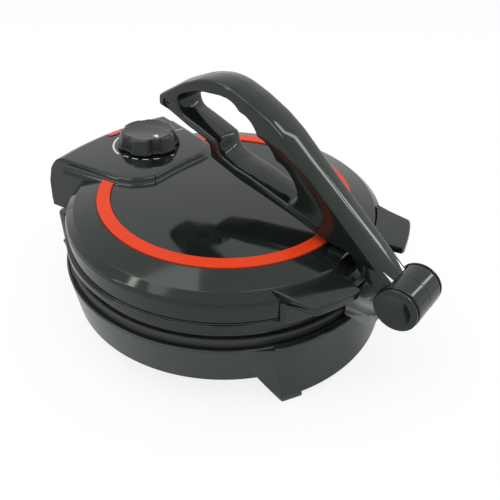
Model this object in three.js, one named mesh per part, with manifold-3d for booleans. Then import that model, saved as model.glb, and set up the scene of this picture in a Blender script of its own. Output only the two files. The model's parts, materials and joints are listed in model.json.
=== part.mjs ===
// Electric roti maker: a round flat-bread cooker with a hinged lid, a raised
// control housing at the rear, and a long handle that presses the lid down.
// Millimetres, +Z up, the front towards -Y. The origin is on the table, under
// the middle of the cooker's whole outline.

import * as THREE from 'three';
import { mergeVertices } from 'three/addons/utils/BufferGeometryUtils.js';
import Module from 'manifold-3d';

const wasm = await Module();
wasm.setup();

// Gaps, overruns and the fineness of round pieces
const seat = 0.3;
const slip = 0.3;
const overrun = 6;
const bodySides = 48;
const plateSides = 32;
const discSides = 16;
const pinSides = 8;

// Cooking plates, which set the cooker's diameter
const plateRadius = 123.8;
const plateThickness = 6;
const plateSkirtWidth = 11;
const plateSkirtDepth = 2.2;
const plateFit = 0.7;
const plateStep = 0.2;

// Base: round wall, deck, rim, front apron and rear box
const rimWidth = 15.5;
const rimHeight = 8.4;
const rimRounding = 2.4;
const wallInset = 0.5;
const wallFlare = 4.5;
const baseWall = 2.5;
const baseBottomHeight = 22.5;
const baseWallHeight = 36.5;
const wallLip = 1.3;
const deckThickness = 2.5;
const deckLedge = 12;
const apronReach = 7.6;
const apronFlare = 3.2;
const apronAngle = 34.5;
const apronWall = 2;
const apronLip = 1.7;
const apronBottomHeight = 6.2;
const apronDeckThickness = 4;
const legFootReach = 13.2;
const legFootWidth = 18.5;
const legFootTurn = 3;
const legGussetTurn = 12;
const legDepth = 16;
const legBottomHeight = 1;
const boxHalfWidth = 70;
const boxRearReach = 28;
const boxBottomHeight = 14;
const boxTopDrop = 7.5;
const rearFootSize = 15;
const rearFootTaper = 2;
const footPadRadius = 5;
const footPadDepth = 2;
const wireSlotWidth = 40;
const wireSlotHeight = 14;

// Bottom cover and its screws
const coverThickness = 2.2;
const coverFit = 0.8;
const coverVentRadius = 46;
const coverVentSize = 4;
const coverVents = 8;
const bossRadius = 5;
const bossInset = 7;
const bossAngle = 38;
const screwRadius = 1.5;
const screwHeadRadius = 2.4;
const screwHeadHeight = 2;
const screwLength = 9;

// Heating parts, alike in the base and in the lid
const elementRadius = 78;
const elementTube = 3.5;
const elementGapAngle = 16;
const elementEndDrop = 9;
const elementSteps = 32;
const elementSides = 6;
const reflectorSheet = 1.2;
const reflectorFlange = 5;
const reflectorSlant = 6;
const reflectorDepth = 13;
const studCircleRadius = 56;
const studRadius = 2.5;
const studNutRadius = 4.5;
const studNutHeight = 3;
const studNutSides = 6;
const studAngles = [-90, 30, 150];
const elementEndShare = 0.04;

// Rear wiring in the base
const terminalWidth = 34;
const terminalDepth = 12;
const terminalHeight = 13;
const terminalSlots = 3;
const terminalSlotWidth = 5;
const terminalSlotDepth = 5;
const fuseRadius = 3;
const fuseLength = 24;
const fusePlace = 20;
const glandPlace = 30;
const glandHeight = 32;
const glandRadius = 6.5;
const glandFlangeRadius = 10;
const glandFlangeThickness = 2;
const glandBoreRadius = 3.4;
const glandInside = 7;

// Lid: round cover with its bevel, bead and lower band
const partingGap = 0.9;
const lidHeight = 43.7;
const lidWall = 2.8;
const lidBevelWidth = 9;
const lidBevelDrop = 10.2;
const lidCrownDrop = 5;
const lidShoulder = 2.5;
const lidWallInset = 1.5;
const lidShoulderDrop = 3;
const beadLow = 7.5;
const beadHigh = 14.5;
const beadReach = 1;
const bandInset = 3;

// Red trim ring let into the lid's top
const trimInset = 29;
const trimWidth = 11.2;
const trimThickness = 2.2;
const trimStand = 1.2;

// Small pad on the lid that the handle presses on
const pressPadInset = 16;
const pressPadLength = 12;
const pressPadHalfWidth = 18;
const pressPadHeight = 2;

// Front tab: two wings with a slot between them for the handle
const tabReach = 21;
const tabThickness = 5.3;
const tabHalfWidth = 74.5;
const tabRootSpread = 1.5;
const tabCornerReach = 4;
const tabSlotRear = 24.8;
const tabSlotFront = 32.4;
const tabGussetDepth = 27;
const tabGussetInset = 19;
const tabRootInset = 38;

// Control housing at the rear of the lid
const housingRise = 5.5;
const housingFrontInset = 82;
const housingHalfWidth = 67.5;
const housingFlare = 4.5;
const housingTopReach = 8;
const housingRearReach = 28;
const housingLift = 9.5;
const housingBottomSlope = 5;
const housingWall = 2.6;
const housingTopInset = 1.2;
const housingBow = 11;
const housingBowShares = [0.35, 0.7, 1];
const housingLevelShares = [
  [0, 0.95, 0],
  [0.1, 0.95, 0],
  [0.27, 1, 0.2],
  [0.52, 1, 0.45],
  [0.74, 0.75, 0.75],
  [0.874, 0.45, 0.9],
  [0.95, 0.225, 1],
  [1, 0, 1],
];
const housingCornerShares = [
  [0.815, 0.224],
  [0.745, 0.110],
  [0.615, 0.031],
  [0.474, -0.027],
  [0.170, -0.003],
];

// Lid hinges at the rear
const hingeReach = 21;
const hingeRise = 7;
const hingePlace = 50;
const hingePinRadius = 2;
const hingePinHeadRadius = 3;
const hingePinHeadLength = 1.5;
const hingeEarThickness = 3;
const hingeEarRadius = 3.6;
const hingeEarGap = 0.6;
const hingeFootWidth = 12;
const hingeFootLength = 22;
const hingeFootThickness = 2;
const lugThickness = 4;
const lugRadius = 4.6;
const lugHeight = 16;

// Housing floor
const floorThickness = 2.2;
const floorRise = 14.5;
const floorDepth = 13;
const floorLugSize = 9;

// Knob, thermostat and lamps
const knobPlaceX = 9;
const knobInset = 32;
const knobRadius = 30;
const knobTopRadius = 26;
const knobHeight = 14.5;
const knobStand = 1.2;
const knobSkirtHeight = 1.6;
const knobFlutes = 6;
const knobFluteRadius = 12;
const knobFluteReach = 35.5;
const knobFluteLean = 0.2;
const knobHollowRadius = 13;
const knobHollowHeight = 6;
const knobTopRounding = 1.8;
const pointerLength = 7;
const pointerWidth = 5;
const pointerDepth = 1;
const pointerInset = 4;
const pointerAngle = -105;
const shaftRadius = 3;
const shaftInKnob = 5;
const bushRadius = 5;
const nutRadius = 8;
const nutHeight = 3;
const thermostatWidth = 44;
const thermostatDepth = 34;
const thermostatHeight = 16;
const lampReach = 11.5;
const redLampPlaceX = 2.5;
const greenLampPlaceX = 24;
const lampHalfLength = 8;
const lampHalfWidth = 3.6;
const lampStand = 0.6;
const neonRadius = 3;
const neonLength = 18;

// Handle: its outline, in shares of its reach and rise from the axle. Its neck
// is in shares of the axle's own reach and drop, so that it clears the lid.
const axleReach = 40;
const axleDrop = 20.5;
const handleReach = 247.5;
const handleRise = 124;
const handleHalfWidth = 14;
const handleEdge = 2.4;
const handleSeam = 0.3;
const pressGap = 1;
const handleRunFrontShare = 1.258;
const handleRunRearShare = 0.262;
const handleOpenAngle = 105;
const armRootAngle = 54;
const handleCrestShares = [0.395, 0.689];
const handleBackShares = [
  [0.452, 0.784],
  [0.513, 0.862],
  [0.591, 0.935],
  [0.668, 0.988],
  [0.729, 1.0],
  [0.794, 0.976],
  [0.872, 0.910],
  [0.945, 0.822],
  [0.986, 0.773],
];
const handleBellyShares = [
  [0.990, 0.686],
  [0.941, 0.669],
  [0.847, 0.600],
  [0.774, 0.559],
  [0.756, 0.535],
  [0.752, 0.445],
  [0.623, 0.363],
  [0.517, 0.318],
  [0.403, 0.268],
];
const handleNeckShares = [
  [1.123, 1.058],
  [0.976, 0.610],
  [0.792, 0.341],
  [0.522, -0.036],
];
const loopGripShares = [
  [0.884, 0.788],
  [0.868, 0.812],
  [0.819, 0.853],
  [0.774, 0.878],
  [0.705, 0.890],
];
const loopFingerShares = [
  [0.652, 0.894, 0.631, 0.833],
  [0.578, 0.820, 0.556, 0.714],
  [0.505, 0.702, 0.483, 0.608],
  [0.424, 0.588, 0.397, 0.461],
];
const loopBarShares = [
  [0.395, 0.412],
  [0.403, 0.380],
  [0.420, 0.363],
  [0.497, 0.404],
  [0.578, 0.445],
  [0.644, 0.469],
  [0.701, 0.510],
  [0.713, 0.600],
  [0.798, 0.657],
  [0.880, 0.706],
];
const armPocketShares = [
  [0.235, 0.290],
  [0.375, 0.300],
  [0.372, 0.560],
  [0.350, 0.575],
];
const armPocketHalfWidth = 10.5;

// Barrel at the front of the handle, with its axle, collars and caps
const barrelRadius = 17.7;
const barrelHalfLength = 17.6;
const barrelCollarInset = 1.2;
const barrelCollarThickness = 1.4;
const barrelCapThickness = 2;
const barrelCapInset = 0.4;
const capDimpleRadius = 9.5;
const capDimpleFloorRadius = 6.5;
const capDimpleDepth = 1.2;
const capSpigotRadius = 7;
const capSpigotDepth = 5;
const axleRadius = 4;
const axleHalfLength = 15.4;
const knuckleRadius = 12;
const knuckleHalfWidth = 7.5;
const barrelSlotMargin = 3.5;
const coreHalfWidth = 10.4;
const coreEarRadius = 9;
const coreEarThickness = 2.2;
const coreHalfHeight = 5;
const coreLength = 76;
const coreBarStart = 16;
const coreAngle = 36;

// Pale cast bracket between base and handle
const bracketHalfWidth = 28;
const bracketRearReach = 3;
const bracketFrontReach = 26;
const bracketBlockHeight = 10;
const bracketBlockDrop = 14;
const bracketEarThickness = 4.5;
const bracketEarRise = 5.5;
const bracketEarTopLength = 8;
const bracketEarRearRise = 7;
const bracketPedestalHalfWidth = 17;
const bracketPedestalRear = 0.3;
const bracketPedestalFront = 6.6;
const bracketScrewPlace = 6;
const bracketScrewReach = 2.8;
const bracketScrewLength = 15;
const tongueAngle = -45.5;
const tongueHalfThickness = 5.4;
const tongueLength = 26;

// Screws of the handle, with their places as shares of its reach and rise
const handleScrewRadius = 1.8;
const handleScrewHeadRadius = 3.8;
const handleScrewHeadDepth = 2.2;
const handleScrewSink = 1;
const rearScrewShares = [0.943, 0.724];
const frontScrewShares = [0.420, 0.660];

// Places that follow from the sizes above
const rimInnerRadius = plateRadius + plateFit;
const rimRadius = rimInnerRadius + rimWidth;
const baseRadius = rimRadius - wallInset;
const wallTopRadius = baseRadius + wallFlare;
const wallTopHeight = baseBottomHeight + baseWallHeight;
const deckTopHeight = wallTopHeight - wallLip;
const deckRadius = plateRadius - deckLedge;
const rimBottomHeight = deckTopHeight + seat;
const rimTopHeight = rimBottomHeight + rimHeight;
const lidBottomHeight = rimTopHeight + partingGap;
const lidTopHeight = lidBottomHeight + lidHeight;
const housingTopHeight = lidTopHeight + housingRise;
const lidRadius = rimRadius - lidWallInset;
const lidInnerRadius = lidRadius - lidWall;
const lidBevelRadius = rimRadius - lidBevelWidth;
const lidShoulderRadius = rimRadius - lidShoulder;
const lidCrownHeight = lidTopHeight - lidCrownDrop;
const bandRadius = rimRadius - bandInset;
const trimOuterRadius = rimRadius - trimInset;
const housingFrontPlace = rimRadius - housingFrontInset;
const housingTopRear = rimRadius + housingTopReach;
const knobPlaceY = rimRadius - knobInset;
const lampPlaceY = rimRadius + lampReach;
const tabFrontCorner = rimRadius + tabCornerReach;
const lowerPlateTop = rimTopHeight - plateStep;
const upperPlateBottom = lidBottomHeight - plateStep;
const ledgeBottomHeight = upperPlateBottom + plateThickness + plateSkirtDepth + seat;
const ledgeTopHeight = ledgeBottomHeight + deckThickness;
const apronTopRadius = rimRadius + apronReach;
const apronTopHeight = deckTopHeight + apronLip;
const apronRoot = wallTopRadius - apronWall;
const lipRadius = wallTopRadius - baseWall;
const boxRearPlace = rimRadius + boxRearReach;
const axlePlaceY = -(rimRadius + axleReach);
const axleHeight = lidTopHeight - axleDrop;
const hingePlaceY = rimRadius + hingeReach;
const boxTopHeight = wallTopHeight - boxTopDrop;
const hingeHeight = boxTopHeight + hingeRise;
const floorHeight = boxTopHeight + floorRise;
const housingRearBottom = boxTopHeight + housingLift;
const housingRearPlace = rimRadius + housingRearReach;
const tabRadius = rimRadius + tabReach;
const pressPadPlaceY = -(rimRadius - pressPadInset);
const degree = Math.PI / 180;

// Solids: a closed three.js geometry becomes one that can be joined and cut
function solid(geometry) {
  const bare = new THREE.BufferGeometry();
  const loose = geometry.index ? geometry.toNonIndexed() : geometry;
  bare.setAttribute('position', loose.getAttribute('position'));
  const merged = mergeVertices(bare);
  const corners = merged.getAttribute('position').array;
  const kept = [];
  const index = merged.index.array;
  let volume = 0;
  for (let i = 0; i < index.length; i += 3) {
    const [a, b, c] = [index[i], index[i + 1], index[i + 2]];
    if (a === b || b === c || c === a) continue;
    kept.push(a, b, c);
    const [p, q, r] = [a, b, c].map((n) => new THREE.Vector3().fromArray(corners, 3 * n));
    volume += p.dot(q.cross(r));
  }
  if (volume < 0) kept.reverse();
  const mesh = new wasm.Mesh({
    numProp: 3,
    vertProperties: new Float32Array(corners),
    triVerts: new Uint32Array(kept),
  });
  return new wasm.Manifold(mesh);
}

function geometryOf(body) {
  const mesh = body.getMesh();
  const geometry = new THREE.BufferGeometry();
  geometry.setAttribute('position', new THREE.BufferAttribute(new Float32Array(mesh.vertProperties), 3));
  geometry.setIndex(new THREE.BufferAttribute(new Uint32Array(mesh.triVerts), 1));
  geometry.computeVertexNormals();
  return geometry;
}

const joined = (...bodies) => bodies.reduce((whole, body) => whole.add(body));
const cutBy = (body, ...tools) => tools.reduce((rest, tool) => rest.subtract(tool), body);

// A profile of [radius, height] pairs turned about +Z, closed on itself
function turned(profile, sides = bodySides) {
  const outline = [...profile, profile[0]].map(([radius, height]) => new THREE.Vector2(radius, height));
  return solid(new THREE.LatheGeometry(outline, sides).rotateX(Math.PI / 2));
}

function disc(radius, low, high, sides = discSides, x = 0, y = 0) {
  const height = high - low;
  const geometry = new THREE.CylinderGeometry(radius, radius, height, sides).rotateX(Math.PI / 2);
  return solid(geometry.translate(x, y, low + height / 2));
}

// A cylinder along X between two places
function pin(radius, from, to, y = 0, z = 0, sides = discSides) {
  const length = to - from;
  const geometry = new THREE.CylinderGeometry(radius, radius, length, sides).rotateZ(Math.PI / 2);
  return solid(geometry.translate(from + length / 2, y, z));
}

function block(x0, x1, y0, y1, z0, z1) {
  const geometry = new THREE.BoxGeometry(x1 - x0, y1 - y0, z1 - z0);
  return solid(geometry.translate((x0 + x1) / 2, (y0 + y1) / 2, (z0 + z1) / 2));
}

// A plan outline of [x, y] pairs raised from one height to another
function raised(outline, low, high) {
  const shape = new THREE.Shape(outline.map(([x, y]) => new THREE.Vector2(x, y)));
  const geometry = new THREE.ExtrudeGeometry(shape, { depth: high - low, bevelEnabled: false });
  return solid(geometry.translate(0, 0, low));
}

// A side outline in Y and Z carried along X
const alongX = new THREE.Matrix4().set(0, 0, 1, 0, 1, 0, 0, 0, 0, 1, 0, 0, 0, 0, 0, 1);
function carried(shape, from, to, edge = 0) {
  const geometry = new THREE.ExtrudeGeometry(shape, {
    depth: to - from - 2 * edge,
    bevelEnabled: edge > 0,
    bevelThickness: edge,
    bevelSize: edge,
    bevelOffset: -edge,
    bevelSegments: 1,
    curveSegments: 3,
  });
  return solid(geometry.applyMatrix4(alongX).translate(from + edge, 0, 0));
}

// A skin through outlines with as many corners, each given as [x, y, z]
function lofted(...outlines) {
  const plan = outlines[0].map(([x, y]) => new THREE.Vector2(x, y));
  const clockwise = THREE.ShapeUtils.area(plan) < 0;
  const levels = clockwise ? outlines.map((outline) => outline.slice().reverse()) : outlines;
  const count = plan.length;
  const last = count * (levels.length - 1);
  const index = [];
  for (const [a, b, c] of THREE.ShapeUtils.triangulateShape(
    levels[0].map(([x, y]) => new THREE.Vector2(x, y)), [],
  )) {
    index.push(a, c, b, last + a, last + b, last + c);
  }
  for (let start = 0; start < last; start += count) {
    for (let i = 0; i < count; i += 1) {
      const [here, next] = [start + i, start + ((i + 1) % count)];
      index.push(here, next, next + count, here, next + count, here + count);
    }
  }
  const geometry = new THREE.BufferGeometry();
  geometry.setAttribute('position', new THREE.Float32BufferAttribute(levels.flat(2), 3));
  geometry.setIndex(index);
  return solid(geometry);
}

function polar(radius, angle) {
  return [radius * Math.cos(angle * degree), radius * Math.sin(angle * degree)];
}

// A wedge in plan, from the cooker's centre out past everything
function sector(from, to, low, high) {
  const far = 2 * rimRadius;
  const steps = [0, 0.25, 0.5, 0.75, 1].map((share) => polar(far, from + (to - from) * share));
  return raised([[0, 0], ...steps], low, high);
}

// Materials
function finish(color, roughness, metalness) {
  return new THREE.MeshStandardMaterial({ color, roughness, metalness });
}
const glossBlack = () => finish(0x0b0c0c, 0.12, 0);
const matteBlack = () => finish(0x1b1c1c, 0.6, 0);
const castMetal = () => finish(0x4a4a48, 0.55, 0.7);
const zinc = () => finish(0xa9adac, 0.45, 0.8);
const steel = () => finish(0x8d9091, 0.35, 1);
const ceramic = () => finish(0xd9d6cc, 0.5, 0);
const wovenSleeve = () => finish(0xc9b48a, 0.6, 0);
const redPlastic = () => finish(0xd8421f, 0.35, 0);
const whitePlastic = () => finish(0xe8e8e4, 0.6, 0);
const bulbGlass = () => finish(0xd8cfc4, 0.3, 0);
const lampPlastic = (color) => finish(color, 0.15, 0);

const model = new THREE.Group();
const base = new THREE.Group();
const lid = new THREE.Group();
const handle = new THREE.Group();
const knob = new THREE.Group();
model.add(base, lid, handle, knob);

function place(group, name, body, material, x = 0, y = 0, z = 0) {
  const mesh = new THREE.Mesh(geometryOf(body), material);
  mesh.name = name;
  mesh.position.set(x, y, z);
  group.add(mesh);
  return mesh;
}

// Places used by more than one piece
const bossPlaceRadius = baseRadius - baseWall - bossInset;
const bossPlaces = [-bossAngle, bossAngle, 180 - bossAngle, 180 + bossAngle].map((angle) => (
  polar(bossPlaceRadius, angle)
));
const deckLow = deckTopHeight - deckThickness;
const coverBottomHeight = baseBottomHeight + seat;
const coverTopHeight = coverBottomHeight + coverThickness;
const bossBottomHeight = coverTopHeight + seat;
const legAngles = [-90 - apronAngle, -90 + apronAngle];
const studPlaces = studAngles.map((angle) => polar(studCircleRadius, angle));
const bracketRearPlace = -(rimRadius + bracketRearReach);
const bracketFrontPlace = -(rimRadius + bracketFrontReach);
const bracketTopHeight = axleHeight - bracketBlockDrop;
const bracketBottomHeight = bracketTopHeight - bracketBlockHeight;
const bracketScrewY = -(rimRadius + bracketScrewReach);
const bracketScrewSeat = apronTopHeight - apronDeckThickness - apronLip;
const hingeFootLow = boxTopHeight + seat;
const hingeScrewY = hingePlaceY - hingeFootLength / 2;
const hingeScrewX = hingePlace - hingeFootWidth / 2 - hingeEarThickness / 2;
const shellSlot = barrelRadius + overrun;

// Feet: the four places where the base stands, and the recess for each pad
function legFootCorners(angle) {
  const inward = Math.sign(-90 - angle);
  const outer = rimRadius + legFootReach;
  const near = angle + inward * legFootTurn;
  const far = near + (inward * legFootWidth) / outer / degree;
  return [
    polar(outer - legDepth, near),
    polar(outer, near),
    polar(outer, far),
    polar(outer - legDepth, far),
  ];
}

function middleOf(corners) {
  const sum = corners.reduce(([x, y], corner) => [x + corner[0], y + corner[1]], [0, 0]);
  return sum.map((value) => value / corners.length);
}

const rearFootX = boxHalfWidth - rearFootSize / 2;
const rearFootY = boxRearPlace - rearFootSize / 2;
const footPlaces = [
  ...legAngles.map((angle) => middleOf(legFootCorners(angle))),
  [-rearFootX, rearFootY],
  [rearFootX, rearFootY],
];

const atHeight = (outline, z) => outline.map(([x, y]) => [x, y, z]);
const square = (x, y, half) => [
  [x - half, y - half],
  [x + half, y - half],
  [x + half, y + half],
  [x - half, y + half],
];

// Base shell
function frontLeg(angle) {
  const inward = Math.sign(-90 - angle);
  const far = angle + (inward * legFootWidth) / apronTopRadius / degree;
  const top = [
    polar(apronRoot, angle - inward * legGussetTurn),
    polar(apronTopRadius, angle),
    polar(apronTopRadius, far),
    polar(apronRoot, far),
  ];
  return lofted(atHeight(legFootCorners(angle), legBottomHeight), atHeight(top, deckTopHeight));
}

function apron() {
  const bottomRadius = apronTopRadius + apronFlare;
  const band = turned([
    [apronRoot, bracketScrewSeat],
    [apronTopRadius - apronWall, bracketScrewSeat],
    [bottomRadius - apronWall, apronBottomHeight],
    [bottomRadius, apronBottomHeight],
    [apronTopRadius, apronTopHeight],
    [lipRadius, apronTopHeight],
    [lipRadius, deckTopHeight],
    [apronRoot, deckTopHeight],
  ]);
  return band.intersect(sector(...legAngles, -overrun, lidTopHeight));
}

function rearBox(inset) {
  const halfWidth = boxHalfWidth - inset;
  const front = rimRadius / 2;
  return block(
    -halfWidth, halfWidth, front, boxRearPlace - inset,
    boxBottomHeight + inset, boxTopHeight - inset,
  );
}

function rearFoot(side) {
  const x = side * rearFootX;
  const low = square(x, rearFootY, rearFootSize / 2 - rearFootTaper);
  const high = square(x, rearFootY, rearFootSize / 2);
  return lofted(atHeight(low, legBottomHeight), atHeight(high, boxBottomHeight + baseWall / 2));
}

function baseShell() {
  const lowerInner = baseRadius - baseWall;
  const wallProfile = [
    [0, baseBottomHeight],
    [baseRadius, baseBottomHeight],
    [wallTopRadius, wallTopHeight],
  ];
  const round = turned([
    ...wallProfile,
    [lipRadius, wallTopHeight],
    [lipRadius, deckTopHeight],
    [0, deckTopHeight],
  ]);
  const hollow = turned([
    [0, -overrun],
    [lowerInner, -overrun],
    [lowerInner, coverTopHeight],
    [lipRadius, deckLow],
    [0, deckLow],
  ]);
  const opening = disc(deckRadius, deckLow - overrun, deckTopHeight + overrun, plateSides);
  const partition = turned([...wallProfile, [0, wallTopHeight]]);
  const wireSlot = block(
    -wireSlotWidth / 2, wireSlotWidth / 2,
    rimRadius / 2, baseRadius + overrun,
    baseBottomHeight + wireSlotHeight / 2, baseBottomHeight + wireSlotHeight * 1.5,
  );
  const bosses = bossPlaces.map(([x, y]) => (
    disc(bossRadius, bossBottomHeight, deckLow + deckThickness / 2, pinSides, x, y)
  ));
  const bossHoles = bossPlaces.map(([x, y]) => (
    disc(screwRadius + slip, bossBottomHeight - overrun, bossBottomHeight + screwLength, pinSides, x, y)
  ));
  const glandHole = solid(new THREE.CylinderGeometry(
    glandRadius + slip, glandRadius + slip, 2 * overrun, discSides,
  ).translate(glandPlace, boxRearPlace, glandHeight));
  const bracketHoles = [-1, 1].map((side) => disc(
    screwRadius + slip, bracketScrewSeat - overrun, apronTopHeight + overrun, pinSides,
    side * bracketScrewPlace, bracketScrewY,
  ));
  const bracketWells = [-1, 1].map((side) => disc(
    screwHeadRadius + slip, bracketScrewSeat - overrun, bracketScrewSeat, pinSides,
    side * bracketScrewPlace, bracketScrewY,
  ));
  const hingeHoles = [-1, 1].map((side) => disc(
    screwRadius + slip, boxTopHeight - baseWall - overrun, boxTopHeight + overrun, pinSides,
    side * hingeScrewX, hingeScrewY,
  ));
  const recesses = footPlaces.map(([x, y]) => disc(
    footPadRadius + slip, legBottomHeight - overrun, legBottomHeight + footPadDepth, pinSides, x, y,
  ));
  const walls = cutBy(joined(round, rearBox(0)), hollow, opening, rearBox(baseWall).subtract(partition));
  const whole = joined(
    cutBy(walls, wireSlot), apron(), ...legAngles.map(frontLeg), rearFoot(-1), rearFoot(1), ...bosses,
  );
  const holes = [...bossHoles, glandHole, ...bracketHoles, ...bracketWells, ...hingeHoles];
  return cutBy(whole, ...holes, ...recesses);
}

function baseRim() {
  return turned([
    [rimInnerRadius, rimBottomHeight],
    [rimRadius - rimRounding, rimBottomHeight],
    [rimRadius, rimBottomHeight + rimRounding],
    [rimRadius, rimTopHeight - rimRounding],
    [rimRadius - rimRounding / 3, rimTopHeight - rimRounding / 3],
    [rimRadius - rimRounding, rimTopHeight],
    [rimInnerRadius, rimTopHeight],
  ]);
}

function bottomCover() {
  const low = coverBottomHeight - overrun;
  const high = coverTopHeight + overrun;
  const plate = disc(baseRadius - baseWall - coverFit, coverBottomHeight, coverTopHeight, bodySides);
  const vents = [];
  for (let i = 0; i < coverVents; i += 1) {
    vents.push(disc(coverVentSize, low, high, pinSides, ...polar(coverVentRadius, (360 * i) / coverVents)));
  }
  const holes = bossPlaces.map(([x, y]) => disc(screwRadius + slip, low, high, pinSides, x, y));
  return cutBy(plate, ...vents, ...holes);
}

// A screw that points up, with the upper face of its head at height 0
function screw(length) {
  return joined(
    disc(screwHeadRadius, -screwHeadHeight, 0, pinSides),
    disc(screwRadius, -screwHeadHeight / 2, length, pinSides),
  );
}

// Plates, elements and reflectors, with the plate's cooking face up at 0
function hotPlate() {
  const skirt = plateThickness + plateSkirtDepth;
  return turned([
    [0, 0],
    [plateRadius, 0],
    [plateRadius, -skirt],
    [plateRadius - plateSkirtWidth, -skirt],
    [plateRadius - plateSkirtWidth, -plateThickness],
    [0, -plateThickness],
  ], plateSides);
}

class ElementPath extends THREE.Curve {
  getPoint(share, target = new THREE.Vector3()) {
    const along = THREE.MathUtils.clamp((share - elementEndShare) / (1 - 2 * elementEndShare), 0, 1);
    const past = Math.max(elementEndShare - share, share - 1 + elementEndShare, 0) / elementEndShare;
    const [x, y] = polar(elementRadius, 90 + elementGapAngle + along * (360 - 2 * elementGapAngle));
    return target.set(x, y, -elementEndDrop * past);
  }
}

function heatingElement() {
  const section = new THREE.Shape();
  section.absarc(0, 0, elementTube, 0, 2 * Math.PI);
  return solid(new THREE.ExtrudeGeometry(section, {
    steps: elementSteps,
    extrudePath: new ElementPath(),
    curveSegments: elementSides / 2,
  }));
}

function reflector() {
  const rim = deckRadius - reflectorFlange;
  const floor = rim - reflectorSlant;
  const low = -reflectorDepth - overrun;
  const pan = turned([
    [0, -reflectorDepth],
    [0, -reflectorDepth - reflectorSheet],
    [floor, -reflectorDepth - reflectorSheet],
    [rim, -reflectorSheet],
    [deckRadius + reflectorFlange, -reflectorSheet],
    [deckRadius + reflectorFlange, 0],
    [rim - reflectorSheet, 0],
    [floor - reflectorSheet, -reflectorDepth],
  ], plateSides);
  const holes = studPlaces.map(([x, y]) => disc(studRadius + slip, low, 0, pinSides, x, y));
  const near = elementRadius - 2 * elementTube;
  const far = elementRadius + 2 * elementTube;
  const leads = raised([
    polar(near, 90 + elementGapAngle),
    polar(near, 90 - elementGapAngle),
    polar(far, 90 - elementGapAngle),
    polar(far, 90 + elementGapAngle),
  ], low, -overrun);
  return cutBy(pan, ...holes, leads);
}

function plateStud(length) {
  return joined(
    disc(studRadius, -length, 0, pinSides),
    disc(studNutRadius, -length, studNutHeight - length, studNutSides),
  );
}

const plateUnderside = plateThickness + seat;
const elementDepth = plateUnderside + elementTube;
const reflectorTopDepth = plateThickness + plateSkirtDepth + deckThickness + 2 * seat;
const reflectorFloorDepth = reflectorTopDepth + reflectorDepth + reflectorSheet;
const studLength = reflectorFloorDepth - plateUnderside + seat + studNutHeight;

// The base's parts face up and the lid's face down
function heatingParts(group, prefix, plateFace, facing) {
  const set = (name, body, material, depth, x = 0, y = 0) => {
    const mesh = place(group, `${prefix}_${name}`, body, material);
    mesh.position.set(facing * x, y, plateFace - facing * depth);
    if (facing < 0) mesh.rotation.y = Math.PI;
  };
  set('hot_plate', hotPlate(), castMetal(), 0);
  set('heating_element', heatingElement(), steel(), elementDepth);
  set('reflector', reflector(), steel(), reflectorTopDepth);
  studPlaces.forEach(([x, y], i) => {
    set(`plate_stud_${i + 1}`, plateStud(studLength), zinc(), plateUnderside, x, y);
  });
}

// Wiring pieces in the base's rear box
function terminalBlock() {
  const body = block(-terminalWidth / 2, terminalWidth / 2, 0, terminalDepth, 0, terminalHeight);
  const slots = [];
  for (let i = 0; i < terminalSlots; i += 1) {
    const x = ((i + 0.5) / terminalSlots - 0.5) * terminalWidth;
    slots.push(block(
      x - terminalSlotWidth / 2, x + terminalSlotWidth / 2,
      -overrun, terminalDepth + overrun,
      terminalHeight - terminalSlotDepth, terminalHeight + overrun,
    ));
  }
  return cutBy(body, ...slots);
}

function cordGland() {
  return turned([
    [glandBoreRadius, -glandInside],
    [glandRadius, -glandInside],
    [glandRadius, seat],
    [glandFlangeRadius, seat],
    [glandFlangeRadius, glandFlangeThickness / 2],
    [glandFlangeRadius - glandFlangeThickness / 2, glandFlangeThickness],
    [glandBoreRadius, glandFlangeThickness],
  ], discSides);
}

// Hinge bracket, with the pin's axis at its origin: an ear on a screwed foot
function hingeBracket(side) {
  const low = hingeFootLow - hingeHeight;
  const high = low + hingeFootThickness;
  const ear = new THREE.Shape();
  ear.moveTo(-hingeFootLength, low);
  ear.lineTo(-hingeEarRadius, low);
  ear.absarc(0, 0, hingeEarRadius, -Math.PI / 4, 0.75 * Math.PI);
  ear.lineTo(-hingeFootLength, high);
  const plate = carried(ear, -hingeEarThickness / 2, hingeEarThickness / 2);
  const inner = -side * (hingeEarThickness / 2 + hingeFootWidth);
  const outer = side * (hingeEarThickness / 2);
  const foot = block(
    Math.min(inner, outer), Math.max(inner, outer), -hingeFootLength, -hingeEarRadius, low, high,
  );
  const screwHole = disc(
    screwRadius + slip, low - overrun, high + overrun, pinSides,
    side * (hingeScrewX - hingePlace), hingeScrewY - hingePlaceY,
  );
  return cutBy(joined(plate, foot), screwHole, pin(hingePinRadius + slip, -overrun, overrun));
}

function hingePin() {
  const outside = hingeEarThickness / 2 + hingeEarGap + lugThickness;
  return joined(
    pin(hingePinRadius, -outside, outside + slip + hingePinHeadLength / 2, 0, 0, pinSides),
    pin(hingePinHeadRadius, outside + slip, outside + slip + hingePinHeadLength, 0, 0, pinSides),
  );
}

// The bracket's tongue as it leaves the axle, or the room it needs
function tongueBar(grow, angle) {
  const bar = new THREE.BoxGeometry(
    2 * (knuckleHalfWidth + grow / 2), tongueLength, 2 * (tongueHalfThickness + grow),
  );
  return solid(bar.translate(0, tongueLength / 2, 0).rotateX(angle * degree));
}

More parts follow.
